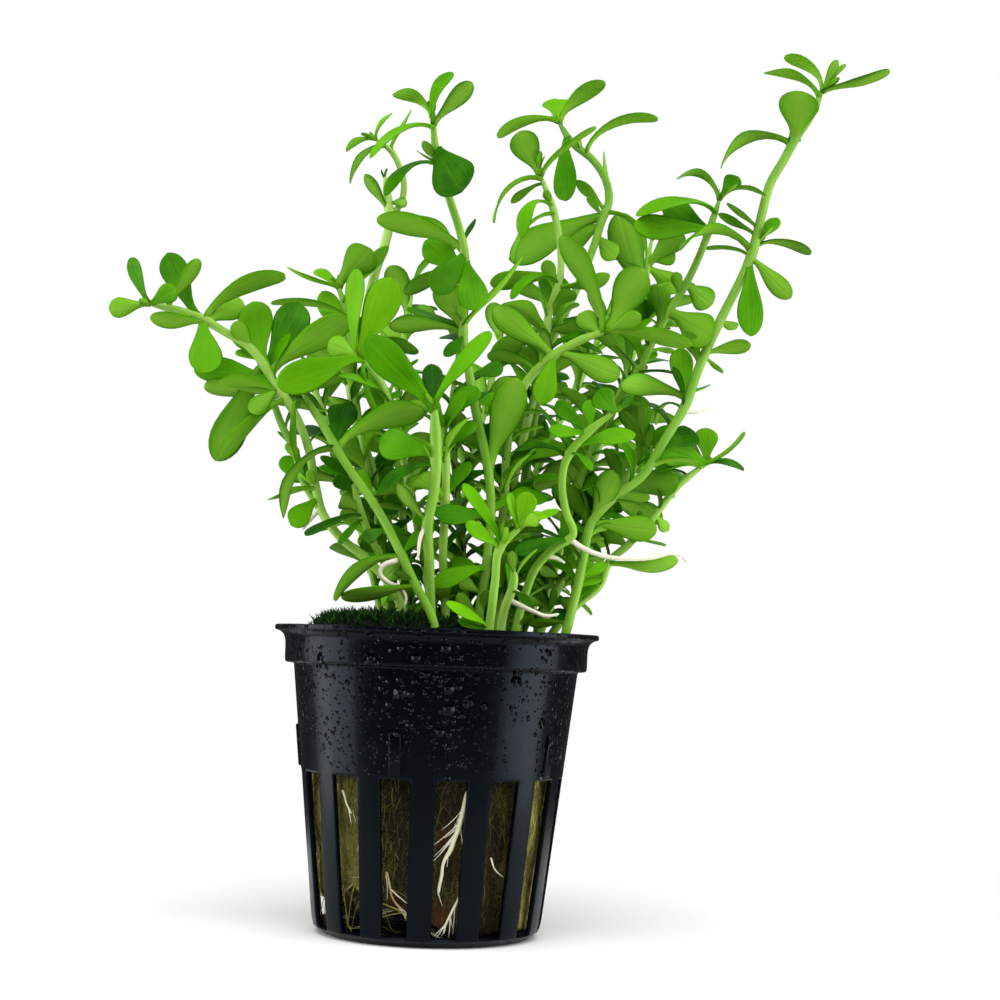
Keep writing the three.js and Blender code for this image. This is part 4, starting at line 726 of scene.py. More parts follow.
class Form:
    """A small shape that is modelled once, then copied and laid along lines."""

    def __init__(self, shape, wraps):
        self.shape = shape
        mesh = shape.data
        self.points = np.array([vertex.co[:] for vertex in mesh.vertices])
        self.levels, self.ring = np.unique(np.round(self.points[:, 1], 4), return_inverse=True)
        half_width = np.array([abs(self.points[self.ring == i, 0]).max() for i in range(len(self.levels))])
        self.shares = self.points[:, 0] / half_width[self.ring]
        turns = np.arctan2(self.points[:, 2], self.points[:, 0]) / WHOLE_TURN % 1
        places = []
        for face in mesh.polygons:
            corners = list(face.vertices)
            place = turns[corners] if wraps else 0.5 + 0.5 * self.shares[corners]
            if wraps and place.max() - place.min() > 0.5:
                place = np.where(place < 0.5, place + 1, place)
            places.extend(zip(place, self.points[corners, 1]))
        mesh.uv_layers.new(name="UVMap").data.foreach_set("uv", np.array(places).ravel())
        mesh.attributes.new("tint", "FLOAT", "POINT")
        mesh.polygons.foreach_set("use_smooth", [True] * len(mesh.polygons))

    def laid(self, points, tint, material):
        """A copy with its own mesh, its corners moved to points given in millimetres."""
        copy = self.shape.copy()
        copy.data = self.shape.data.copy()
        copy.data.vertices.foreach_set("co", (points * MM).ravel())
        copy.data.attributes["tint"].data.foreach_set("value", np.broadcast_to(tint, len(points)).copy())
        copy.data.materials.append(material)
        bpy.context.scene.collection.objects.link(copy)
        return copy

    def retire(self):
        """Removes the shape once its copies are made."""
        bpy.data.objects.remove(self.shape)


def round_form(levels, sides):
    """A round form of one width, with a ring at each level from 0 to 1."""
    return Form(loft([(y, 1, 1) for y in levels], sides), wraps=True)


def joined(objects, name):
    """The objects as one, with the first as the base."""
    deselect_all()
    for obj in objects:
        obj.select_set(True)
    bpy.context.view_layer.objects.active = objects[0]
    bpy.ops.object.join()
    objects[0].name = name
    objects[0].data.name = name
    return objects[0]


def turned_copy(obj, angle):
    """A copy with its own mesh, turned about the pot's axis."""
    copy = obj.copy()
    copy.data = obj.data.copy()
    copy.data.transform(Matrix.Rotation(angle, 4, "Z"))
    bpy.context.scene.collection.objects.link(copy)
    return copy


def apply_modifier(obj, kind, **settings):
    """Adds a modifier and applies it."""
    deselect_all()
    obj.select_set(True)
    bpy.context.view_layer.objects.active = obj
    modifier = obj.modifiers.new(kind.title(), kind)
    for name, value in settings.items():
        setattr(modifier, name, value)
    bpy.ops.object.modifier_apply(modifier=modifier.name)


def dress(obj, slot, *nodes):
    """Rides the piece on the part and hides the nodes it stands for. The slot is not used."""
    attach(obj, "root")
    if nodes:
        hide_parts(*nodes)


def frames_along(line):
    """Side and front directions at each point of a line, turned as little as they can be."""
    alongs = np.gradient(line, axis=0)
    alongs /= np.linalg.norm(alongs, axis=1)[:, None]
    side = across(np.array([1.0, 0.2, 0]), alongs[0])
    sides = []
    for along in alongs:
        side = across(side, along)
        sides.append(side)
    sides = np.array(sides)
    return sides, np.cross(alongs, sides)


def tube_points(form, line, radii):
    """Corners of a round form laid along a line: line and radii have one entry for each of its rings."""
    sides, fronts = frames_along(line)
    x = (form.points[:, 0] * radii[form.ring])[:, None]
    z = (form.points[:, 2] * radii[form.ring])[:, None]
    return line[form.ring] + sides[form.ring] * x + fronts[form.ring] * z


# Leaf: station along the blade, share of its half width, half thickness in millimetres
LEAF_STATIONS = (
    (0.0, 0.34, 0.62), (0.07, 0.29, 0.5), (0.15, 0.3, 0.42), (0.25, 0.4, 0.36), (0.36, 0.57, 0.32),
    (0.47, 0.76, 0.3), (0.58, 0.92, 0.28), (0.68, 1.0, 0.26), (0.77, 0.99, 0.24), (0.85, 0.89, 0.22),
    (0.915, 0.71, 0.19), (0.96, 0.5, 0.16), (0.988, 0.27, 0.12), (1.0, 0.08, 0.06),
)
LEAF_SIDES = 12
SMALL_LEAF_STATIONS = (
    (0.0, 0.3, 0.5), (0.12, 0.32, 0.4), (0.3, 0.55, 0.34), (0.5, 0.86, 0.3), (0.68, 1.0, 0.26),
    (0.84, 0.86, 0.2), (0.95, 0.5, 0.14), (1.0, 0.1, 0.06),
)
SMALL_LEAF_SIDES = 8
STEM_RINGS = 72
STEM_SIDES = 12
STEM_TAPER = 4
AIR_ROOT_RINGS = 20
SLOT_ROOT_RINGS = 32
ROOT_SIDES = 8
HAIR_SIDES = 4

# Shape of a blade: how far its foot hugs the stem, its twist in degrees, and how deep it is channelled
# and waved against its width
LEAF_HUG = 0.5
LEAF_TWIST = 22
CHANNEL_LEAST, CHANNEL_VARIES = 0.05, 0.2
WAVE_SHARE = 0.035

# New growth: least length of a leaf with small ones in its axil, and the share that has them
AXIL_LEAF = 7
AXIL_SHARE = 0.16

# Tints of the leaves: how far they vary, and how the inner leaves, buds and undersides differ. The inner
# leaves' lower tint is partly the darker green of older leaves and partly painted shade inside the tangle
TONE_VARIES = 0.6
INNER_LIFT = -0.2
BUD_LIFT = 0.05
UNDERSIDE_LIFT = 0.08
AIR_ROOT_TINT = 0.75
HAIR_TINT = 0.7

# Small leaves inside the plant: run from the foot to the first pair and from pair to pair, share of the
# stem that has them, their size against the usual leaf, room that they keep, how far forward their tips
# may stand, the outline of the tangle in the photograph, and the gaps in it where the background shows:
# place and radius
INNER_FOOT = 6
INNER_STEP = 4
INNER_REACH = 0.85
INNER_LEAST, INNER_VARIES = 0.42, 0.4
INNER_ROOM = 1.3
INNER_FRONT = -6
INNER_SHIFTS = (0, 1.5, -1.5, 3, -3, 4.5, -4.5)
TANGLE = (
    (405, 624), (400, 596), (380, 566), (362, 545), (350, 515), (335, 490), (325, 465), (300, 440),
    (290, 400), (282, 370), (280, 335), (330, 305), (400, 310), (430, 280), (520, 270), (560, 230),
    (620, 225), (680, 235), (690, 280), (695, 330), (685, 380), (697, 430), (705, 455), (680, 480),
    (650, 512), (628, 542), (600, 572), (575, 600), (558, 628),
)
GAPS = (
    (421, 347, 22), (537, 305, 14), (610, 280, 20), (655, 311, 15), (675, 259, 18), (561, 338, 11),
    (608, 316, 11), (502, 332, 11), (309, 421, 13), (664, 415, 9), (645, 552, 12), (489, 297, 9),
    (480, 322, 8), (466, 423, 8),
)

# Roots behind the slats: radius, number of side hairs, and tint from brown to pale
ROOT_LOOKS = {
    "root_main": (0.44, 11, 0.5), "root_main_lower": (0.3, 6, 0.45), "root_left": (0.2, 1, 0.6),
    "root_middle": (0.22, 5, 0.12), "root_right": (0.16, 0, 0.5),
}


def leaf_points(form, pose, seed, bulk):
    """Corners of the leaf laid from a pose's base to its tip: arched, channelled and a little twisted."""
    base, tip, normal, width, arch = (pose[key] for key in ("base", "tip", "normal", "width", "arch"))
    t = np.clip(form.points[:, 1], 0, 1)
    length = np.linalg.norm(tip - base)
    axis = unit(tip - base)
    side = np.cross(axis, normal)
    rise = 4 * t * (1 - t) * arch
    slope = 4 * (1 - 2 * t) * arch / length
    hug = np.outer(LEAF_HUG * t * (1 - t) ** 5 * length, pose["along"])
    middle = base + np.outer(t, tip - base) + np.outer(rise, normal) + hug
    tangent = axis + np.outer(slope, normal)
    tangent /= np.linalg.norm(tangent, axis=1)[:, None]
    lift = np.cross(side, tangent)
    lift *= np.sign(lift @ normal)[:, None]
    twist = math.radians(LEAF_TWIST) * (chance(seed + 0.11) - 0.5) * (t - 0.4)
    sides = side * np.cos(twist)[:, None] + lift * np.sin(twist)[:, None]
    lifts = lift * np.cos(twist)[:, None] - side * np.sin(twist)[:, None]
    share = form.shares
    channel = (CHANNEL_LEAST + CHANNEL_VARIES * chance(seed + 0.23)) * width / 2
    channel = channel * np.abs(share) ** 1.5 * np.sin(math.pi * t ** 0.8)
    wave = WAVE_SHARE * width * share * np.sin(9 * t + 6.3 * chance(seed + 0.37)) * t
    # A longer leaf has a thicker blade
    bulk *= min(1.1, 0.45 + 0.045 * length)
    x = form.points[:, 0] * width / 2
    z = form.points[:, 2] * bulk + channel + wave
    return middle + sides * x[:, None] + lifts * z[:, None]


# Materials

def wire(tree, made, inputs):
    """Sets a node's inputs: each is a value or the socket that feeds it."""
    for name, value in inputs.items():
        if isinstance(value, bpy.types.NodeSocket):
            tree.links.new(value, made.inputs[name])
        else:
            made.inputs[name].default_value = value


def node(tree, kind, inputs, out=0, stops=(), **settings):
    """Adds a node with its inputs, its settings and a colour ramp's stops, and returns one output."""
    made = tree.nodes.new(kind)
    for name, value in settings.items():
        setattr(made, name, value)
    wire(tree, made, inputs)
    for i, (position, colour) in enumerate(stops):
        elements = made.color_ramp.elements
        element = elements[i] if i < 2 else elements.new(position)
        element.position = position
        element.color = colour
    return made.outputs[out]


def new_material(name):
    """An empty material, its node tree and its shader."""
    material = bpy.data.materials.new(name)
    material.use_nodes = True
    return material, material.node_tree, material.node_tree.nodes["Principled BSDF"]


def leaf_material(plant):
    # Living leaf blade: thick and smooth with a waxy skin, so it shines softly, lets a little light
    # through and shows faint streaks along it, a pale midrib and a darker edge
    material, tree, shader = new_material("waxy_leaf_blade")
    spot = node(tree, "ShaderNodeTexCoord", {}, out="Object")
    blade = node(tree, "ShaderNodeUVMap", {}, uv_map="UVMap")
    sideways = node(tree, "ShaderNodeSeparateXYZ", {0: blade}, out="X")
    along = node(tree, "ShaderNodeSeparateXYZ", {0: blade}, out="Y")
    tint = node(tree, "ShaderNodeAttribute", {}, out="Fac", attribute_name="tint")
    # Streaks about 0.25 mm wide and 5 mm long; the height shifts them from leaf to leaf
    height = node(tree, "ShaderNodeSeparateXYZ", {0: spot}, out="Z")
    shift = node(tree, "ShaderNodeMath", {0: height, 1: 0.15 / MM}, operation="MULTIPLY")
    grain = node(tree, "ShaderNodeMapping", {"Vector": blade, "Scale": (20, 2.2, 1)})
    streaks = node(tree, "ShaderNodeTexNoise", {"Vector": grain, "W": shift, "Scale": 1, "Detail": 4},
                   noise_dimensions="4D")
    patches = node(tree, "ShaderNodeTexNoise", {"Vector": spot, "Scale": 1 / (5 * MM), "Detail": 2})
    mottle = node(tree, "ShaderNodeMath", {0: streaks, 1: 0.3, 2: tint}, operation="MULTIPLY_ADD")
    tone = node(tree, "ShaderNodeMath", {0: patches, 1: 0.4, 2: mottle}, operation="MULTIPLY_ADD")
    tone = node(tree, "ShaderNodeMath", {0: tone, 1: 0.7}, operation="MULTIPLY")
    green = node(tree, "ShaderNodeValToRGB", {0: tone}, stops=(
        (0.27, plant.leaf_old), (0.42, plant.leaf_shade), (0.58, plant.leaf), (0.9, plant.leaf_young)))
    off_middle = node(tree, "ShaderNodeMath", {0: sideways, 1: 0.5}, operation="SUBTRACT")
    off_middle = node(tree, "ShaderNodeMath", {0: off_middle}, operation="ABSOLUTE")
    rib = node(tree, "ShaderNodeMapRange", {0: off_middle, 1: 0.045, 2: 0.004, 3: 0, 4: 0.2})
    fading = node(tree, "ShaderNodeMapRange", {0: along, 1: 0.9, 2: 0.2, 3: 0.1, 4: 1})
    rib = node(tree, "ShaderNodeMath", {0: rib, 1: fading}, operation="MULTIPLY")
    ribbed = node(tree, "ShaderNodeMix", {0: rib, 6: green, 7: plant.stem}, out=2, data_type="RGBA")
    margin = node(tree, "ShaderNodeMapRange", {0: off_middle, 1: 0.43, 2: 0.5, 3: 0, 4: 0.5})
    edged = node(tree, "ShaderNodeMix", {0: margin, 6: ribbed, 7: plant.leaf_old}, out=2, data_type="RGBA")
    stalk = node(tree, "ShaderNodeMapRange", {0: along, 1: 0.34, 2: 0.02, 3: 0, 4: 0.7})
    stalked = node(tree, "ShaderNodeMix", {0: stalk, 6: edged, 7: plant.stem}, out=2, data_type="RGBA")
    # Painted sheen: soft patches where the leaf colour is mixed towards a paler green, standing in for its
    # dull shine
    sheen_patches = node(tree, "ShaderNodeTexNoise", {"Vector": spot, "Scale": 1 / (7 * MM), "Detail": 3})
    painted_sheen = node(tree, "ShaderNodeMapRange", {0: sheen_patches, 1: 0.55, 2: 0.75, 3: 0, 4: 0.22})
    colour = node(tree, "ShaderNodeMix", {0: painted_sheen, 6: stalked, 7: plant.painted_sheen}, out=2, data_type="RGBA")
    cells = node(tree, "ShaderNodeTexVoronoi", {"Vector": spot, "Scale": 1 / (0.3 * MM)})
    groove = node(tree, "ShaderNodeMapRange", {0: off_middle, 1: 0.08, 2: 0, 3: 0, 4: -0.5})
    relief = node(tree, "ShaderNodeMath", {0: streaks, 1: 0.9, 2: groove}, operation="MULTIPLY_ADD")
    relief = node(tree, "ShaderNodeMath", {0: cells, 1: 0.04, 2: relief}, operation="MULTIPLY_ADD")
    wire(tree, shader, {
        "Base Color": colour, "Roughness": 0.42, "Specular IOR Level": 0.04, "Subsurface Weight": 0.1,
        "Subsurface Scale": 1.2 * MM, "Subsurface Radius": (0.5, 1, 0.2),
        "Normal": node(tree, "ShaderNodeBump", {"Height": relief, "Distance": 0.08 * MM}),
    })
    return material


def stem_material(plant):
    # Living stem: smooth, juicy and finely ribbed along its length, greener towards its tip
    material, tree, shader = new_material("fleshy_ribbed_stem")
    spot = node(tree, "ShaderNodeTexCoord", {}, out="Object")
    place = node(tree, "ShaderNodeUVMap", {}, uv_map="UVMap")
    along = node(tree, "ShaderNodeSeparateXYZ", {0: place}, out="Y")
    tint = node(tree, "ShaderNodeAttribute", {}, out="Fac", attribute_name="tint")
    grain = node(tree, "ShaderNodeMapping", {"Vector": place, "Scale": (14, 12, 1)})
    streaks = node(tree, "ShaderNodeTexNoise", {"Vector": grain, "Scale": 1, "Detail": 4})
    patches = node(tree, "ShaderNodeTexNoise", {"Vector": spot, "Scale": 1 / (8 * MM), "Detail": 2})
    mottle = node(tree, "ShaderNodeMath", {0: streaks, 1: 1.2, 2: tint}, operation="MULTIPLY_ADD")
    tone = node(tree, "ShaderNodeMath", {0: patches, 1: 1.2, 2: mottle}, operation="MULTIPLY_ADD")
    tone = node(tree, "ShaderNodeMath", {0: tone, 1: 0.3}, operation="MULTIPLY")
    pale = node(tree, "ShaderNodeValToRGB", {0: tone}, stops=(
        (0.36, plant.stem_shade), (0.5, plant.stem), (0.66, plant.stem_light)))
    tipward = node(tree, "ShaderNodeMapRange", {0: along, 1: 0.7, 2: 1, 3: 0, 4: 0.6})
    colour = node(tree, "ShaderNodeMix", {0: tipward, 6: pale, 7: plant.leaf}, out=2, data_type="RGBA")
    wire(tree, shader, {
        "Base Color": colour, "Roughness": 0.34, "Specular IOR Level": 0.25, "Subsurface Weight": 0.15,
        "Subsurface Scale": 1.5 * MM, "Subsurface Radius": (0.6, 1, 0.25),
        "Normal": node(tree, "ShaderNodeBump", {"Height": streaks, "Distance": 0.12 * MM}),
    })
    return material


def root_material(plant):
    # Living root: cream and smooth, a little see-through, browned in patches where it has dried
    material, tree, shader = new_material("cream_young_root")
    spot = node(tree, "ShaderNodeTexCoord", {}, out="Object")
    tint = node(tree, "ShaderNodeAttribute", {}, out="Fac", attribute_name="tint")
    mottle = node(tree, "ShaderNodeTexNoise", {"Vector": spot, "Scale": 1 / (1.5 * MM), "Detail": 3})
    tone = node(tree, "ShaderNodeMath", {0: mottle, 1: 0.4, 2: tint}, operation="MULTIPLY_ADD")
    colour = node(tree, "ShaderNodeValToRGB", {0: tone}, stops=(
        (0.25, plant.root_brown), (0.55, plant.root), (1, plant.root_light)))
    wire(tree, shader, {
        "Base Color": colour, "Roughness": 0.45, "Subsurface Weight": 0.2, "Subsurface Scale": 1 * MM,
        "Subsurface Radius": (1, 0.8, 0.5),
        "Normal": node(tree, "ShaderNodeBump", {"Height": mottle, "Distance": 0.1 * MM}),
    })
    return material


# Beads on the pot: size of the pattern's cells, largest radius, share that is kept, shift
BEAD_LAYERS = (
    (2.6, 1.1, 0.5, 0), (2.3, 0.8, 0.75, 3), (1.4, 0.55, 1, 7), (1.1, 0.42, 1.1, 11), (0.8, 0.3, 0.7, 15),
    (0.55, 0.2, 0.6, 19),
)


def bead_relief(tree, spot, cell_mm, most_mm, share, shift):
    """Height of round beads in millimetres, at most one in each cell of a random pattern."""
    placed = node(tree, "ShaderNodeMapping", {"Vector": spot, "Location": (shift * MM, 0, 0)})
    cells = {"Vector": placed, "Scale": 1 / (cell_mm * MM), "Randomness": 1}
    away = node(tree, "ShaderNodeTexVoronoi", cells, out="Distance")
    dice = node(tree, "ShaderNodeTexVoronoi", cells, out="Color")
    size = node(tree, "ShaderNodeSeparateXYZ", {0: dice}, out="X")
    size = node(tree, "ShaderNodeMapRange", {0: size, 3: 0.35 * most_mm, 4: most_mm})
    kept = node(tree, "ShaderNodeSeparateXYZ", {0: dice}, out="Y")
    kept = node(tree, "ShaderNodeMath", {0: kept, 1: share}, operation="LESS_THAN")
    radius = node(tree, "ShaderNodeMath", {0: size, 1: kept}, operation="MULTIPLY")
    away = node(tree, "ShaderNodeMath", {0: away, 1: cell_mm}, operation="MULTIPLY")
    outer = node(tree, "ShaderNodeMath", {0: radius, 1: radius}, operation="MULTIPLY")
    inner = node(tree, "ShaderNodeMath", {0: away, 1: away}, operation="MULTIPLY")
    square = node(tree, "ShaderNodeMath", {0: outer, 1: inner}, operation="SUBTRACT")
    square = node(tree, "ShaderNodeMath", {0: square, 1: 0}, operation="MAXIMUM")
    return node(tree, "ShaderNodeMath", {0: square}, operation="SQRT")


def pot_material(pot):
    # Polypropylene, injection moulded and black all through: satin and a little uneven. Its wet
    # collar and upper wall hold beads of 0.2 to 2 mm, drawn as smooth low relief
    material, tree, shader = new_material("injection_moulded_polypropylene")
    spot = node(tree, "ShaderNodeTexCoord", {}, out="Object")
    height = node(tree, "ShaderNodeSeparateXYZ", {0: spot}, out="Z")
    film = node(tree, "ShaderNodeTexNoise", {"Vector": spot, "Scale": 1 / (8 * MM), "Detail": 3})
    colour = node(tree, "ShaderNodeMix", {0: film, 6: pot.black, 7: pot.worn}, out=2, data_type="RGBA")
    beads = 0
    for cell, most, share, shift in BEAD_LAYERS:
        layer = bead_relief(tree, spot, cell, most, share * pot.bead_share, shift)
        beads = node(tree, "ShaderNodeMath", {0: beads, 1: layer}, operation="MAXIMUM")
    upper = node(tree, "ShaderNodeMapRange", {
        0: height, 1: (SLOT_TOP - 4) * MM, 2: (SLOT_TOP + 7) * MM, 3: 0.3, 4: 0.62})
    dry = node(tree, "ShaderNodeTexNoise", {"Vector": spot, "Scale": 1 / (7 * MM), "Detail": 2})
    wet = node(tree, "ShaderNodeMath", {0: dry, 1: upper}, operation="LESS_THAN")
    beads = node(tree, "ShaderNodeMath", {0: beads, 1: wet}, operation="MULTIPLY")
    satin = node(tree, "ShaderNodeTexNoise", {"Vector": spot, "Scale": 1 / (2.5 * MM), "Detail": 5})
    satin = node(tree, "ShaderNodeMapRange", {0: satin, 1: 0.3, 2: 0.7, 3: 0.24, 4: 0.34})
    bead = node(tree, "ShaderNodeMapRange", {0: beads, 1: 0, 2: 0.05, 3: 0, 4: 0.24})
    roughness = node(tree, "ShaderNodeMath", {0: satin, 1: bead}, operation="SUBTRACT")
    wire(tree, shader, {
        "Base Color": colour, "Roughness": roughness, "Specular IOR Level": 0.11,
        "Specular Tint": (0.55, 0.77, 1, 1),
        "Normal": node(tree, "ShaderNodeBump", {"Height": beads, "Distance": 1.6 * MM}),
    })
    return material


def wool_material(ground):
    # Mineral wool: spun stone fibres, soaked and stained olive by growth, with brown patches
    material, tree, shader = new_material("spun_mineral_wool")
    spot = node(tree, "ShaderNodeTexCoord", {}, out="Object")
    tint = node(tree, "ShaderNodeAttribute", {}, out="Fac", attribute_name="tint")
    drawn = node(tree, "ShaderNodeMapping", {"Vector": spot, "Scale": (1 / MM, 1 / MM, 0.3 / MM)})
    fibres = node(tree, "ShaderNodeTexNoise", {"Vector": spot, "Scale": 1 / (0.5 * MM), "Detail": 6,
                                               "Distortion": 1.6})
    folds = node(tree, "ShaderNodeTexNoise", {"Vector": drawn, "Scale": 0.34, "Detail": 3})
    # The tint lowers the tone at the plug's front as painted shade
    tone = node(tree, "ShaderNodeMath", {0: fibres, 1: 0.6, 2: tint}, operation="MULTIPLY_ADD")
    tone = node(tree, "ShaderNodeMath", {0: folds, 1: 0.6, 2: tone}, operation="MULTIPLY_ADD")
    olive = node(tree, "ShaderNodeValToRGB", {0: tone}, stops=(
        (0.42, ground.wool_dark), (0.6, ground.wool), (0.82, ground.wool_light)))
    marked = node(tree, "ShaderNodeAttribute", {}, out="Fac", attribute_name="stain")
    stain = node(tree, "ShaderNodeMath", {0: marked, 1: fibres}, operation="MULTIPLY")
    stain = node(tree, "ShaderNodeMapRange", {0: stain, 1: 0.1, 2: 0.5, 3: 0, 4: 0.75})
    colour = node(tree, "ShaderNodeMix", {0: stain, 6: olive, 7: ground.wool_stain}, out=2, data_type="RGBA")
    wire(tree, shader, {
        "Base Color": colour, "Roughness": 0.7, "Specular IOR Level": 0.2,
        "Normal": node(tree, "ShaderNodeBump", {"Height": fibres, "Distance": 1.1 * MM}),
    })
    return material


def moss_material(ground):
    # Moss: a cushion of tiny pointed shoots, black-green inside and fresh green at the tips
    material, tree, shader = new_material("living_cushion_moss")
    spot = node(tree, "ShaderNodeTexCoord", {}, out="Object")
    tint = node(tree, "ShaderNodeAttribute", {}, out="Fac", attribute_name="tint")
    patches = node(tree, "ShaderNodeTexNoise", {"Vector": spot, "Scale": 1 / (2.5 * MM), "Detail": 3})
    tone = node(tree, "ShaderNodeMath", {0: patches, 1: 0.5, 2: tint}, operation="MULTIPLY_ADD")
    colour = node(tree, "ShaderNodeValToRGB", {0: tone}, stops=(
        (0.35, ground.moss_dark), (0.68, ground.moss), (0.95, ground.moss_tip)))
    fine = node(tree, "ShaderNodeTexNoise", {"Vector": spot, "Scale": 1 / (0.4 * MM), "Detail": 3})
    wire(tree, shader, {
        "Base Color": colour, "Roughness": 0.6, "Specular IOR Level": 0.1,
        "Normal": node(tree, "ShaderNodeBump", {"Height": fine, "Distance": 0.25 * MM}),
    })
    return material


def strand_material(ground):
    # Loose stone fibres and rootlets: pale, thin and dull
    material, tree, shader = new_material("pale_wool_strand")
    tint = node(tree, "ShaderNodeAttribute", {}, out="Fac", attribute_name="tint")
    colour = node(tree, "ShaderNodeValToRGB", {0: tint}, stops=(
        (0.1, ground.wool_dark), (0.4, ground.wool), (0.75, ground.wool_light), (1, ground.strand)))
    wire(tree, shader, {"Base Color": colour, "Roughness": 0.6, "IOR": 1.45})
    return material


def floor_material(stage):
    # Studio board: matt pale paper with a faint tooth
    material, tree, shader = new_material("matt_studio_board")
    spot = node(tree, "ShaderNodeTexCoord", {}, out="Object")
    tooth = node(tree, "ShaderNodeTexNoise", {"Vector": spot, "Scale": 1 / (0.6 * MM), "Detail": 3})
    wire(tree, shader, {
        "Base Color": stage.floor, "Roughness": 0.8,
        "Normal": node(tree, "ShaderNodeBump", {"Height": tooth, "Distance": 0.02 * MM}),
    })
    return material


# Net pot

def slot_half_angle(radius):
    """Half the angle of a wall slot, between slats of one width."""
    return (WHOLE_TURN * radius / SLOT_COUNT - SLAT_WIDTH) / 2 / radius


def pot_profile():
    """The pot's outer skin as rows of (radius, height, half angle of the slot, whether the slot goes on)."""
    floor_half = math.asin(FLOOR_SLOT_WIDTH / 2 / FLOOR_DISC_RADIUS)
    foot_half = slot_half_angle(wall_radius(FLOOR_THICKNESS))
    rows = [(r, 0, floor_half, False) for r in (0.01, 2.5, 5, 6.6)]
    for r in (FLOOR_DISC_RADIUS, 7.5, 10, 13, 15.8, FLOOR_SLOT_END):
        part = (r - FLOOR_DISC_RADIUS) / (FLOOR_SLOT_END - FLOOR_DISC_RADIUS)
        rows.append((r, 0, floor_half + (foot_half - floor_half) * part, r < FLOOR_SLOT_END))
    rows += [(r, z, foot_half, False) for r, z in (
        (16.7, 0), (BASE_EDGE_RADIUS - 0.2, 0), (BASE_EDGE_RADIUS + 0.1, 0.12), (18.3, 0.85), (18.85, 1.15))]
    for z in (FLOOR_THICKNESS, 1.6, 2.5, 5, 9, 13, 17, 21, 24.5, SLOT_TOP - 0.4, SLOT_TOP):
        bent = wall_radius(FOOT_BEND_HEIGHT) - FOOT_BEND_INSET + 0.3 * (z - FLOOR_THICKNESS)
        rows.append((min(wall_radius(z), bent), z, slot_half_angle(wall_radius(z)), z < SLOT_TOP))
    top_half = slot_half_angle(wall_radius(SLOT_TOP))
    rows += [(wall_radius(z), z, top_half, False) for z in (
        SLOT_TOP + 0.4, 28, 31, 34, 37, 40, 42.5, 43.8, COLLAR_FOOT - 0.15)]
    rows += [(r, z, top_half, False) for r, z in (
        (WALL_TOP_RADIUS + 0.15, COLLAR_FOOT), (COLLAR_RADIUS - 0.3, COLLAR_FOOT),
        (COLLAR_RADIUS, COLLAR_FOOT + 0.3), (COLLAR_RADIUS, 45.6), (COLLAR_RADIUS, 47.2),
        (COLLAR_RADIUS + 0.05, 48.3), (COLLAR_RADIUS + 0.3, 49.1), (COLLAR_RADIUS + 0.9, LIP_FOOT - 0.2),
        (RIM_RADIUS - 0.3, LIP_FOOT), (RIM_RADIUS, LIP_FOOT))]
    return rows


def pot_sector(rows):
    """One slot and half of each slat beside it: a grid set on the pot's profile, its slot faces removed."""
    def turns(radius, half):
        """Angles of the grid's columns in one row, closer together at the slot's edges."""
        edge = min(0.3 / max(radius, 1), half / 3)
        right = [half / 3, half - edge, half, half + edge, (half + edge + math.pi / SLOT_COUNT) / 2,
                 math.pi / SLOT_COUNT]
        return [-turn for turn in reversed(right)] + right

    deselect_all()
    columns, last = len(turns(1, 1)) - 1, len(rows) - 1
    bpy.ops.mesh.primitive_grid_add(x_subdivisions=columns, y_subdivisions=last, size=2)
    sector = bpy.context.object
    spots = []
    for vertex in sector.data.vertices:
        i, j = round((vertex.co.x + 1) / 2 * columns), round((vertex.co.y + 1) / 2 * last)
        spots.append((i, j))
        radius, height, half, _ = rows[j]
        turn = turns(radius, half)[i]
        vertex.co = Vector((radius * math.sin(turn), -radius * math.cos(turn), height)) * MM
    slot_columns = range(3, columns - 3)
    bpy.ops.object.mode_set(mode="EDIT")
    bpy.ops.mesh.select_mode(type="FACE")
    bpy.ops.mesh.select_all(action="DESELECT")
    bpy.ops.object.mode_set(mode="OBJECT")
    for face in sector.data.polygons:
        i, j = (min(spots[corner][axis] for corner in face.vertices) for axis in (0, 1))
        face.select = i in slot_columns and rows[j][3]
    bpy.ops.object.mode_set(mode="EDIT")
    bpy.ops.mesh.delete(type="FACE")
    bpy.ops.object.mode_set(mode="OBJECT")
    return sector


def stacking_rib():
    """One low rib that follows the wall's slope, with rounded edges, at the front."""
    deselect_all()
    middle = LUG_FOOT + LUG_HEIGHT / 2
    slope = math.atan((WALL_TOP_RADIUS - WALL_FOOT_RADIUS) / COLLAR_FOOT)
    bpy.ops.mesh.primitive_cube_add(size=1)
    rib = bpy.context.object
    rib.data.transform(Matrix.Diagonal((LUG_WIDTH * MM, 2 * LUG_RELIEF * MM, LUG_HEIGHT * MM, 1)))
    rib.data.transform(Matrix.Rotation(slope, 4, "X"))
    rib.data.transform(Matrix.Translation((0, -wall_radius(middle) * MM, middle * MM)))
    apply_modifier(rib, "BEVEL", width=0.3 * MM, segments=3)
    return rib


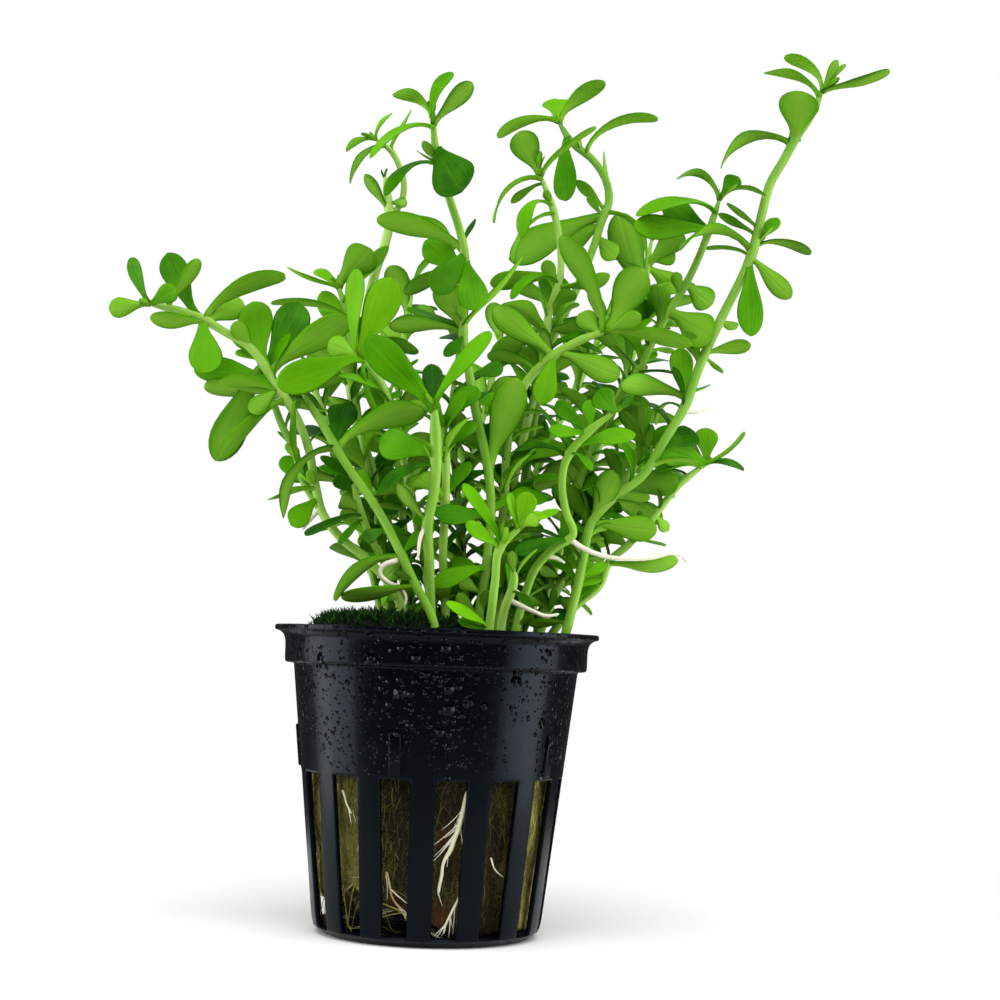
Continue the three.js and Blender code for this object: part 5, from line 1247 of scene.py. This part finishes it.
class HYSSOP_OT_pot(Operator):
    """Models the net pot: fifteen equal sectors of its skin, given a wall, softened and ribbed."""
    bl_idname = "hyssop.pot"
    bl_label = "Net pot"

    def execute(self, context):
        pot = context.scene.hyssop_pot
        first = math.radians(FIRST_SLOT_DEGREES)
        step = WHOLE_TURN / SLOT_COUNT
        sector = pot_sector(pot_profile())
        skin = joined([turned_copy(sector, first + step * k) for k in range(SLOT_COUNT)], "net_pot_moulded")
        bpy.data.objects.remove(sector)
        bpy.ops.object.mode_set(mode="EDIT")
        bpy.ops.mesh.select_all(action="SELECT")
        bpy.ops.mesh.remove_doubles(threshold=0.03 * MM)
        bpy.ops.mesh.normals_make_consistent(inside=False)
        bpy.ops.object.mode_set(mode="OBJECT")
        underside = min(skin.data.polygons, key=lambda face: face.center.z)
        wall = pot.wall if underside.normal.z < 0 else -pot.wall
        apply_modifier(skin, "SOLIDIFY", thickness=wall, offset=-1, use_even_offset=True)
        apply_modifier(skin, "SUBSURF", levels=1, render_levels=1)
        rib = stacking_rib()
        ribs = [turned_copy(rib, first - step + WHOLE_TURN / LUG_COUNT * k) for k in range(LUG_COUNT)]
        bpy.data.objects.remove(rib)
        whole = joined([skin, *ribs], "net_pot_moulded")
        whole.data.materials.append(pot_material(pot))
        bpy.ops.object.shade_smooth_by_angle(angle=math.radians(40))
        dress(whole, "pot_black", "net_pot")
        return {"FINISHED"}


# Wool and moss

def fold_depth(turn):
    """How far the plug's folds draw it in, by angle from the front."""
    return 0.6 + 0.5 * math.cos(5 * turn + 0.6) * math.cos(3 * turn) + 0.3 * math.cos(8 * turn + 2)


def wool_foot(turn):
    """Height of the plug's torn bottom edge: high at the left front, on the floor at the right."""
    left = max(0, math.cos(turn + math.radians(52)))
    return FLOOR_THICKNESS + GAP + 6.8 * left ** 3 + 0.4 * (1 + math.cos(7 * turn))


# Orange-brown patches on the plug: angle from the front, height and reach
WOOL_STAINS = ((0.46, 13, 3.5), (0.5, 9, 2.5), (-0.24, 5, 3), (0.1, 5, 3.5), (0.16, 17, 3))
# Painted shade on the plug's front: its middle and reach in radians from the front, the tint where it is
# absent, and how far it lowers the tint
SHADE_MIDDLE = 0.12
SHADE_REACH = 0.78
UNSHADED_TINT = 0.2
PAINTED_SHADE_DEPTH = 0.4
WOOL_EDGE = 1.2
FLOOR_ROOTLETS = 34


def front_painted_shade(turn):
    """How much painted shade darkens the plug: most at the front."""
    return 1 / (1 + (abs(turn - SHADE_MIDDLE) / SHADE_REACH) ** 6)


def wool_spot(turn, z, inset=0.0, spread=1.0):
    """Point of the plug's side, or of its top or foot where spread is under 1, with its folds and tufts."""
    around = Vector((math.sin(turn), math.cos(turn), 0))
    tuft = noise.noise(around * 9 + Vector((0, 0, z * 0.13)))
    strand = noise.noise(around * 40 + Vector((0, 0, z * 0.45)))
    radius = wall_radius(z) - WALL_THICKNESS - WOOL_CLEARANCE - fold_depth(turn)
    radius = (radius - inset - spread * (0.4 + 0.55 * tuft + 0.3 * strand)) * spread
    return np.array([radius * math.sin(turn), -radius * math.cos(turn), z])


def wool_body():
    """The plug: a ball drawn out to the inside of the pot, with a torn foot."""
    rings, top_end, side_end = 110, 16, 96
    deselect_all()
    bpy.ops.mesh.primitive_uv_sphere_add(segments=200, ring_count=rings, radius=1)
    body = bpy.context.object
    for vertex in body.data.vertices:
        ring = round(math.acos(max(-1, min(1, vertex.co.z))) / math.pi * rings)
        turn = math.atan2(vertex.co.x, -vertex.co.y)
        foot = wool_foot(turn)
        if ring < top_end:
            spread = ring / top_end
            z = WOOL_TOP - WOOL_EDGE * spread ** 6
        elif ring <= side_end:
            spread = 1
            part = (ring - top_end) / (side_end - top_end)
            z = WOOL_TOP - WOOL_EDGE + (foot + WOOL_EDGE - WOOL_TOP) * part
        else:
            spread = (rings - ring) / (rings - side_end)
            z = foot + (1 - spread) * 1.5
        vertex.co = Vector(wool_spot(turn, z, 0, spread)) * MM
    tint = body.data.attributes.new("tint", "FLOAT", "POINT")
    stain = body.data.attributes.new("stain", "FLOAT", "POINT")
    for i, vertex in enumerate(body.data.vertices):
        turn = math.atan2(vertex.co.x, -vertex.co.y)
        # Painted shade: the tint falls towards the plug's front
        tint.data[i].value = UNSHADED_TINT - PAINTED_SHADE_DEPTH * front_painted_shade(turn)
        stain.data[i].value = max(
            math.exp(-(((turn - at) * WALL_FOOT_RADIUS) ** 2 + (vertex.co.z / MM - z) ** 2) / reach ** 2)
            for at, z, reach in WOOL_STAINS)
    bpy.ops.object.shade_smooth()
    return body


def loose_strands(form, count, material):
    """Strands that lie on the plug's side in short wandering arcs, some of them pale."""
    strands = []
    parts = np.linspace(0, 1, len(form.levels))
    for k in range(count):
        turn = math.radians(240 * (random.random() - 0.5)) if k % 4 else WHOLE_TURN * random.random()
        z = random.uniform(wool_foot(turn) + 0.5, SLOT_TOP + 3)
        lean = random.gauss(0, 0.5)
        length = random.uniform(1.5, 5)
        curl = random.uniform(-0.12, 0.12)
        radius = wall_radius(z)
        line = []
        for part in parts:
            z_here = z + length * part * math.cos(lean)
            aside = length * part * math.sin(lean) + curl * 4 * length * part * (1 - part)
            turn_here = turn + aside / radius
            line.append(wool_spot(turn_here, z_here, -0.12 * math.sin(math.pi * part) - 0.05))
        thick = random.uniform(0.02, 0.05)
        tint = 0.95 if random.random() < 0.06 else random.uniform(0.15, 0.8)
        # Painted shade: strands at the plug's front are darkened too
        tint *= 1 - 0.65 * front_painted_shade(turn)
        points = tube_points(form, np.array(line), np.full(len(line), thick))
        strands.append(form.laid(points, tint, material))
    return strands


def floor_rootlets(form, count, material):
    """Pale rootlets that hang from the raised left edge of the plug and lie on the pot's floor."""
    rootlets = []
    for _ in range(count):
        turn = math.radians(random.gauss(-50, 26))
        start = wool_spot(turn, wool_foot(turn) + 0.4)
        fall = start[2] - FLOOR_THICKNESS - 0.25
        drift = random.uniform(-0.9, 0.9)
        reach = random.uniform(0.6, 1.05)
        line = []
        for part in form.levels:
            here = turn + drift * part
            radius = math.hypot(start[0], start[1]) * (1 + (reach - 1) * part)
            drop = fall * min(1, 1.5 * part) ** 1.4
            line.append([radius * math.sin(here), -radius * math.cos(here), start[2] - drop])
        thick = random.uniform(0.06, 0.13) * (1 - 0.5 * form.levels)
        points = tube_points(form, np.array(line), thick)
        rootlets.append(form.laid(points, random.uniform(0.55, 0.9), material))
    return rootlets


class HYSSOP_OT_wool(Operator):
    """Models the mineral wool plug and its loose strands."""
    bl_idname = "hyssop.wool"
    bl_label = "Wool plug"

    def execute(self, context):
        ground = context.scene.hyssop_ground
        random.seed(11)
        body = wool_body()
        body.data.materials.append(wool_material(ground))
        form = round_form((0, 0.2, 0.4, 0.6, 0.8, 1), 3)
        material = strand_material(ground)
        strands = loose_strands(form, ground.strands, material)
        strands += floor_rootlets(form, FLOOR_ROOTLETS, material)
        form.retire()
        dress(joined([body, *strands], "mineral_wool"), "wool_olive", "wool_plug")
        return {"FINISHED"}


def moss_spot(turn, part):
    """Point of the flat moss cushion: turn about its middle, and from 0 at its top to 1 at its edge."""
    reach = part * (1 + 0.09 * math.cos(3 * turn + 1))
    x = MOSS_CENTRE[0] + MOSS_REACH[0] * reach * math.sin(turn)
    y = MOSS_CENTRE[1] - MOSS_REACH[1] * reach * math.cos(turn)
    z = MOSS_FOOT + (MOSS_TOP - MOSS_FOOT) * (1 - part ** 4) ** (1 / 4)
    return np.array([x, y, z])


def moss_body():
    """The cushion: a ball flattened on the wool and roughened by lumps."""
    deselect_all()
    bpy.ops.mesh.primitive_uv_sphere_add(segments=72, ring_count=40, radius=1)
    body = bpy.context.object
    for vertex in body.data.vertices:
        turn = math.atan2(vertex.co.x, -vertex.co.y)
        spot = moss_spot(turn, min(1, vertex.co.xy.length))
        if vertex.co.z < 0:
            spot[2] = MOSS_FOOT
        lump = noise.noise(Vector(spot) * 0.45) + 0.6 * noise.noise(Vector(spot) * 1.1)
        spot[2] += 0.5 * lump * max(0, vertex.co.z)
        vertex.co = Vector(spot) * MM
    body.data.attributes.new("tint", "FLOAT", "POINT")
    bpy.ops.object.shade_smooth()
    return body


def moss_shoots(form, count, material):
    """Pointed shoots that stand on the cushion and lean outwards."""
    shoots = []
    for _ in range(count):
        turn = random.uniform(0, WHOLE_TURN)
        part = math.sqrt(random.random())
        foot = moss_spot(turn, part)
        foot[2] -= 0.3
        lean = np.array([0.5 * part ** 4 * math.sin(turn), -0.5 * part ** 4 * math.cos(turn), 0.8])
        lean = unit(lean + np.array([random.gauss(0, 0.35), random.gauss(0, 0.35), random.gauss(0, 0.15)]))
        length = random.uniform(0.9, 2.2)
        bend = np.array([random.gauss(0, 0.15), random.gauss(0, 0.15), 0]) * length
        line = np.array([foot + lean * length * part + bend * part * part for part in form.levels])
        thick = np.full(len(line), random.uniform(0.07, 0.17))
        tint = 0.05 + 0.5 * form.levels[form.ring] * random.uniform(0.3, 1)
        shoots.append(form.laid(tube_points(form, line, thick), tint, material))
    return shoots


class HYSSOP_OT_moss(Operator):
    """Models the moss cushion and its single shoots."""
    bl_idname = "hyssop.moss"
    bl_label = "Moss cushion"

    def execute(self, context):
        ground = context.scene.hyssop_ground
        random.seed(12)
        material = moss_material(ground)
        body = moss_body()
        body.data.materials.append(material)
        form = Form(loft([(0, 0.8, 0.8), (0.35, 1, 1), (0.7, 0.6, 0.6), (1, 0.05, 0.05)], 4), wraps=True)
        shoots = moss_shoots(form, ground.moss_shoots, material)
        form.retire()
        dress(joined([body, *shoots], "moss"), "moss_dark", "moss_cushion")
        return {"FINISHED"}


# Shoots

def bud_leaf(base, along, turn, spread, length, index):
    """Pose of a small new leaf beside a stem: turn about it, and spread away from it."""
    side = across(np.array([math.cos(turn), math.sin(turn), 0.1]), along)
    tip = base + length * (side * math.sin(spread) + along * math.cos(spread))
    axis = unit(tip - base)
    arch = BUD_ARCH * length * (1 if index % 2 else -0.4)
    return {"base": base, "tip": tip, "normal": across(along, axis),
            "width": LEAF_ASPECT * length, "arch": arch, "along": along}


def shoot_leaves(number, shoot, line, tree):
    """Poses of all leaves that the part's solid has on this shoot."""
    poses = [grown_leaf(tree, lambda shift: traced_leaf(shoot, line, row, shift))
             for row in shoot.get("leaves", [])]
    first, last, count = shoot.get("pairs", [0, 0, 0])
    for index in range(2 * count):
        part = index // 2 / (count - 1)
        place = (first + (last - first) * part) * (len(line) - 1)
        tipward = part ** 3 if last == 1 else 0
        seed = number * 40 + index
        poses.append(grown_leaf(tree, lambda shift: pair_leaf(line, place, index, seed, shift, tipward)))
    return [pose for pose in poses if pose]


class Crowd:
    """Midlines of the stems and leaves made so far, so that new leaves find free places."""

    def __init__(self):
        self.spots = np.empty((0, 3))

    def add(self, spots):
        """Keeps the spots of one more leaf or stem."""
        self.spots = np.concatenate([self.spots, spots])

    def has_room(self, spots, gap):
        """Whether all spots stay farther than the gap from what is there."""
        away = np.linalg.norm(self.spots[:, None] - spots[None], axis=2)
        return away.min() > gap


def midline(pose):
    """Five spots along the outer part of a leaf."""
    return pose["base"] + np.outer(np.linspace(0.4, 1, 5), pose["tip"] - pose["base"])


def resized(pose, size):
    """A pose made smaller or larger about the leaf's base."""
    tip = pose["base"] + size * (pose["tip"] - pose["base"])
    return {**pose, "tip": tip, "width": size * pose["width"], "arch": size * pose["arch"]}


def in_tangle(spot):
    """Whether a spot shows inside the dense middle of the plant in the photograph."""
    ray = spot - EYE
    ray = ray / np.dot(ray, AHEAD)
    u = VIEW_CENTRE + VIEW_FOCAL * np.dot(ray, RIGHTWARD)
    v = VIEW_CENTRE - VIEW_FOCAL * np.dot(ray, UPWARD)
    inside = False
    for (u0, v0), (u1, v1) in zip(TANGLE, TANGLE[1:] + TANGLE[:1]):
        if (v0 > v) != (v1 > v) and u < u0 + (u1 - u0) * (v - v0) / (v1 - v0):
            inside = not inside
    return inside and all(math.hypot(u - at_u, v - at_v) > radius for at_u, at_v, radius in GAPS)


def inner_leaves(line, number, crowd, count):
    """Smaller shaded leaves in free places of the tangle, in crosswise pairs along one stem."""
    knots = runs_along(line)
    grown = []
    for index in range(2 * count):
        run = INNER_FOOT + INNER_STEP * (index // 2)
        if run > INNER_REACH * knots[-1]:
            break
        place = float(np.interp(run, knots, np.arange(len(line))))
        seed = number * 70 + index + 0.17
        size = INNER_LEAST + INNER_VARIES * chance(seed + 0.4)
        for shift in INNER_SHIFTS:
            pose = resized(pair_leaf(line, place, index, seed, shift, 0), size)
            spots = midline(pose)
            shown = pose["tip"][1] > INNER_FRONT and all(in_tangle(spot) for spot in spots[2:])
            if shown and crowd.has_room(spots[1:], INNER_ROOM):
                crowd.add(spots)
                grown.append(pose)
                break
    return grown


def new_growth(line, poses, number):
    """Small leaves in the axils of some leaves and round the tip of the stem."""
    small = []
    for k, pose in enumerate(poses):
        seed = number * 90 + k
        if np.linalg.norm(pose["tip"] - pose["base"]) > AXIL_LEAF and chance(seed) < AXIL_SHARE:
            outward = pose["tip"] - pose["base"]
            turn = math.atan2(outward[1], outward[0])
            for side in (-0.5, 0.6):
                length = 2.2 + 2.6 * chance(seed + side)
                spread = 0.45 + 0.35 * chance(seed + side + 3)
                base = pose["base"] + 0.3 * pose["along"]
                small.append(bud_leaf(base, pose["along"], turn + side, spread, length, k))
    along = unit(line[-1] - line[-2])
    for k in range(2):
        small.append(bud_leaf(line[-1] - 0.8 * along, along, number + k * math.pi, 0.25, 2.4, k))
    return small


def stem_tube(form, shoot, line, poses):
    """Corners of the stem laid along its smooth curve, swollen where leaves sit."""
    knots = runs_along(line)
    run = form.levels * knots[-1]
    places = np.interp(run, knots, np.arange(len(line)))
    foot, tip = shoot["thick"]
    radii = (foot + (tip - foot) * places / (len(line) - 1)) / 2
    for pose in poses:
        at = np.interp(pose["place"], np.arange(len(line)), knots)
        radii *= 1 + 0.07 * np.exp(-((run - at) / 0.9) ** 2)
    radii = np.minimum(radii, max(foot, tip) / 2 * 1.2)
    radii *= np.minimum(1, 0.3 + 0.7 * ((knots[-1] - run) / STEM_TAPER) ** 0.7)
    return tube_points(form, smooth_line(line, places), radii)


def air_root(form, shoot, line, path):
    """Corners of an aerial root that leaves the stem at the depth where it starts."""
    start, _ = on_line(line, nearest_on_stem(shoot, *path[0]))
    traced_path = np.array([traced(u, v, start[1]) for u, v in path])
    places = form.levels * (len(path) - 1)
    radii = AIR_ROOT_RADIUS * (1 - 0.6 * form.levels)
    radii[-1] *= 0.3
    return tube_points(form, smooth_line(traced_path, places), radii)


class HYSSOP_OT_shoots(Operator):
    """Models every shoot: its stem, paired leaves, new growth and aerial roots."""
    bl_idname = "hyssop.shoots"
    bl_label = "Shoots"

    def execute(self, context):
        plant = context.scene.hyssop_plant
        green, pale, cream = leaf_material(plant), stem_material(plant), root_material(plant)
        leaf = Form(loft(LEAF_STATIONS, LEAF_SIDES), wraps=False)
        small_leaf = Form(loft(SMALL_LEAF_STATIONS, SMALL_LEAF_SIDES), wraps=False)
        stem = round_form(np.linspace(0, 1, STEM_RINGS), STEM_SIDES)
        root = round_form(np.linspace(0, 1, AIR_ROOT_RINGS), ROOT_SIDES)
        lines = {name: stem_line(shoot) for name, shoot in SHOOTS.items()}
        grown = {}
        crowd = Crowd()
        for number, (name, shoot) in enumerate(SHOOTS.items()):
            line = lines[name]
            grown[name] = shoot_leaves(number, shoot, line, corner_tree(name))
            crowd.add(smooth_line(line, np.linspace(0, len(line) - 1, 60)))
            for pose in grown[name]:
                pose["base"] = smooth_line(line, np.array([pose["place"]]))[0]
                crowd.add(midline(pose))
        for number, (name, shoot) in enumerate(SHOOTS.items()):
            line, poses = lines[name], grown[name]
            tone = TONES.get(name, USUAL_TONE)
            inner = inner_leaves(line, number, crowd, plant.inner_pairs)
            parts = [stem.laid(stem_tube(stem, shoot, line, poses), chance(number + 0.5), pale)]
            buds = new_growth(line, poses, number)
            kinds = ((leaf, poses, 0), (leaf, inner, INNER_LIFT), (small_leaf, buds, BUD_LIFT))
            for form, kind, lift in kinds:
                underside = UNDERSIDE_LIFT * (form.points[:, 2] < 0)
                for k, pose in enumerate(kind):
                    seed = number * 60 + k
                    tint = tone + lift + TONE_VARIES * (chance(seed) - 0.5) + underside
                    parts.append(form.laid(leaf_points(form, pose, seed, plant.blade), tint, green))
            for path in shoot.get("roots", []):
                parts.append(root.laid(air_root(root, shoot, line, path), AIR_ROOT_TINT, cream))
            dress(joined(parts, "leafy_" + name), "shoot_green", name)
        for form in (leaf, small_leaf, stem, root):
            form.retire()
        return {"FINISHED"}


# Roots on the wool, behind the slats

def slot_root_line(path):
    """The root's traced places, on the wool just inside the slats."""
    line = []
    for u, v in path:
        spot = traced(u, v, -WALL_FOOT_RADIUS)
        for _ in range(4):
            reach = wall_radius(spot[2]) - WALL_THICKNESS - GAP - SLOT_ROOT_RADIUS
            spot = traced(u, v, -math.sqrt(reach * reach - spot[0] * spot[0]))
        line.append(spot)
    return np.array(line)


def side_hairs(form, line, material, count):
    """Fine hairs that leave a root sideways and trail down over the wool."""
    hairs = []
    for _ in range(count):
        place = random.uniform(0.05, len(line) - 1.1)
        start = smooth_line(line, np.array([place]))[0]
        down = unit(line[-1] - line[0])
        outward = unit(np.array([start[0], start[1], 0]))
        side = np.cross(down, outward) * random.choice((-1, 1))
        length = random.uniform(2, 7)
        heading = unit(side * random.uniform(0.1, 0.5) + down)
        bend = -0.3 * outward + 0.8 * side * random.uniform(-0.6, 1)
        hair = np.array([start + length * (heading * part + bend * part * part * 0.3)
                         for part in form.levels])
        hair[:, 2] = np.maximum(hair[:, 2], FLOOR_THICKNESS + GAP)
        points = tube_points(form, hair, HAIR_RADIUS * (1 - 0.6 * form.levels))
        hairs.append(form.laid(points, HAIR_TINT, material))
    return hairs


class HYSSOP_OT_roots(Operator):
    """Models the young roots that show behind the slats, with their side hairs."""
    bl_idname = "hyssop.roots"
    bl_label = "Roots behind the slats"

    def execute(self, context):
        random.seed(13)
        cream = root_material(context.scene.hyssop_plant)
        form = round_form(np.linspace(0, 1, SLOT_ROOT_RINGS), ROOT_SIDES)
        thin = round_form((0, 0.25, 0.5, 0.75, 1), HAIR_SIDES)
        for name, path in SLOT_ROOTS.items():
            radius, hairs, tint = ROOT_LOOKS[name]
            line = slot_root_line(path)
            curve = smooth_line(line, form.levels * (len(line) - 1))
            sides, _ = frames_along(curve)
            wander = np.array([noise.noise(Vector(spot) * 0.35) for spot in curve])
            curve = curve + sides * wander[:, None] * 0.4
            radii = radius * (1 - 0.45 * form.levels) * (1 + 0.3 * wander)
            radii[0] *= 0.4
            radii[-1] *= 0.3
            parts = [form.laid(tube_points(form, curve, radii), tint, cream)]
            parts += side_hairs(thin, line, cream, hairs)
            dress(joined(parts, name.replace("root", "young_root")), "root_cream", name)
        form.retire()
        thin.retire()
        return {"FINISHED"}


# Stage

FLOOR_RADIUS = 115
ROOM_GLOW = 0.06
PLANT_MIDDLE = (0, 0, 0.08)
# Soft lamps at the sides, in front and behind, in metres: place, aim, width, height and power
LAMPS = (
    ((-0.7, 0, 0), PLANT_MIDDLE, 0.52, 0.8, 7),
    ((0.68, -0.12, 0), PLANT_MIDDLE, 0.48, 0.8, 6.6),
    ((0, -0.8, 1.2), (0, 0, 0), 2.2, 2.2, 41),
    ((0.1, 0.9, 0.7), PLANT_MIDDLE, 1.2, 0.7, 2.5),
)


def soft_lamp(place, aim, width, height, power):
    """A rectangular soft lamp at a place in metres, facing a point."""
    facing = Vector(aim) - Vector(place)
    deselect_all()
    bpy.ops.object.light_add(type="AREA", location=place, rotation=facing.to_track_quat("-Z", "Y").to_euler())
    lamp = bpy.context.object.data
    lamp.shape = "RECTANGLE"
    lamp.size = width
    lamp.size_y = height
    lamp.energy = power


class HYSSOP_OT_stage(Operator):
    """Sets up the pale floor, the soft light and the camera at the photograph's viewpoint."""
    bl_idname = "hyssop.stage"
    bl_label = "Stage"

    def execute(self, context):
        stage = context.scene.hyssop_stage
        deselect_all()
        bpy.ops.mesh.primitive_circle_add(vertices=128, radius=FLOOR_RADIUS * MM, fill_type="NGON")
        floor = context.object
        floor.name = "studio_floor"
        floor.data.materials.append(floor_material(stage))

        for place, aim, width, height, power in LAMPS:
            soft_lamp(place, aim, width, height, power * stage.light)

        context.scene.view_settings.view_transform = "Standard"
        world = bpy.data.worlds.new("pale_studio")
        context.scene.world = world
        world.use_nodes = True
        tree = world.node_tree
        seen = node(tree, "ShaderNodeLightPath", {}, out="Is Camera Ray")
        strength = node(tree, "ShaderNodeMapRange", {0: seen, 3: ROOM_GLOW, 4: 1})
        wire(tree, tree.nodes["Background"], {"Color": (1, 1, 1, 1), "Strength": strength})

        deselect_all()
        bpy.ops.object.camera_add()
        camera = context.object
        camera.data.sensor_width = SENSOR_WIDTH
        camera.data.lens = VIEW_FOCAL / IMAGE_SIDE * SENSOR_WIDTH
        turn = Matrix((RIGHTWARD, UPWARD, -AHEAD)).transposed()
        camera.matrix_world = Matrix.LocRotScale(Vector(EYE) * MM, turn.to_quaternion(), None)
        context.scene.camera = camera
        return {"FINISHED"}


class HYSSOP_PT_panel(Panel):
    """Lists the sizes, the colours and the steps of the model."""
    bl_idname = "HYSSOP_PT_panel"
    bl_label = "Water hyssop"
    bl_space_type = "VIEW_3D"
    bl_region_type = "UI"
    bl_category = "Hyssop"

    def draw(self, context):
        for group, operators in STEPS:
            box = self.layout.box()
            settings = getattr(context.scene, group)
            for name in settings.bl_rna.properties.keys():
                if name not in ("rna_type", "name"):
                    box.prop(settings, name)
            for operator in operators:
                box.operator(operator)


STEPS = (
    ("hyssop_pot", ("hyssop.pot",)),
    ("hyssop_ground", ("hyssop.wool", "hyssop.moss")),
    ("hyssop_plant", ("hyssop.shoots", "hyssop.roots")),
    ("hyssop_stage", ("hyssop.stage",)),
)
GROUPS = {
    "hyssop_pot": HYSSOP_PG_pot,
    "hyssop_ground": HYSSOP_PG_ground,
    "hyssop_plant": HYSSOP_PG_plant,
    "hyssop_stage": HYSSOP_PG_stage,
}
CLASSES = (
    *GROUPS.values(), HYSSOP_OT_pot, HYSSOP_OT_wool, HYSSOP_OT_moss, HYSSOP_OT_shoots, HYSSOP_OT_roots,
    HYSSOP_OT_stage, HYSSOP_PT_panel,
)


def register():
    """Adds the settings, the steps and the panel."""
    for each in CLASSES:
        bpy.utils.register_class(each)
    for name, group in GROUPS.items():
        setattr(bpy.types.Scene, name, PointerProperty(type=group))


def unregister():
    """Takes them away again."""
    for name in GROUPS:
        delattr(bpy.types.Scene, name)
    for each in reversed(CLASSES):
        bpy.utils.unregister_class(each)


def main():
    """Makes every piece and the stage."""
    register()
    bpy.ops.hyssop.stage()
    bpy.ops.hyssop.pot()
    bpy.ops.hyssop.wool()
    bpy.ops.hyssop.moss()
    bpy.ops.hyssop.shoots()
    bpy.ops.hyssop.roots()


if __name__ == "__main__":
    main()
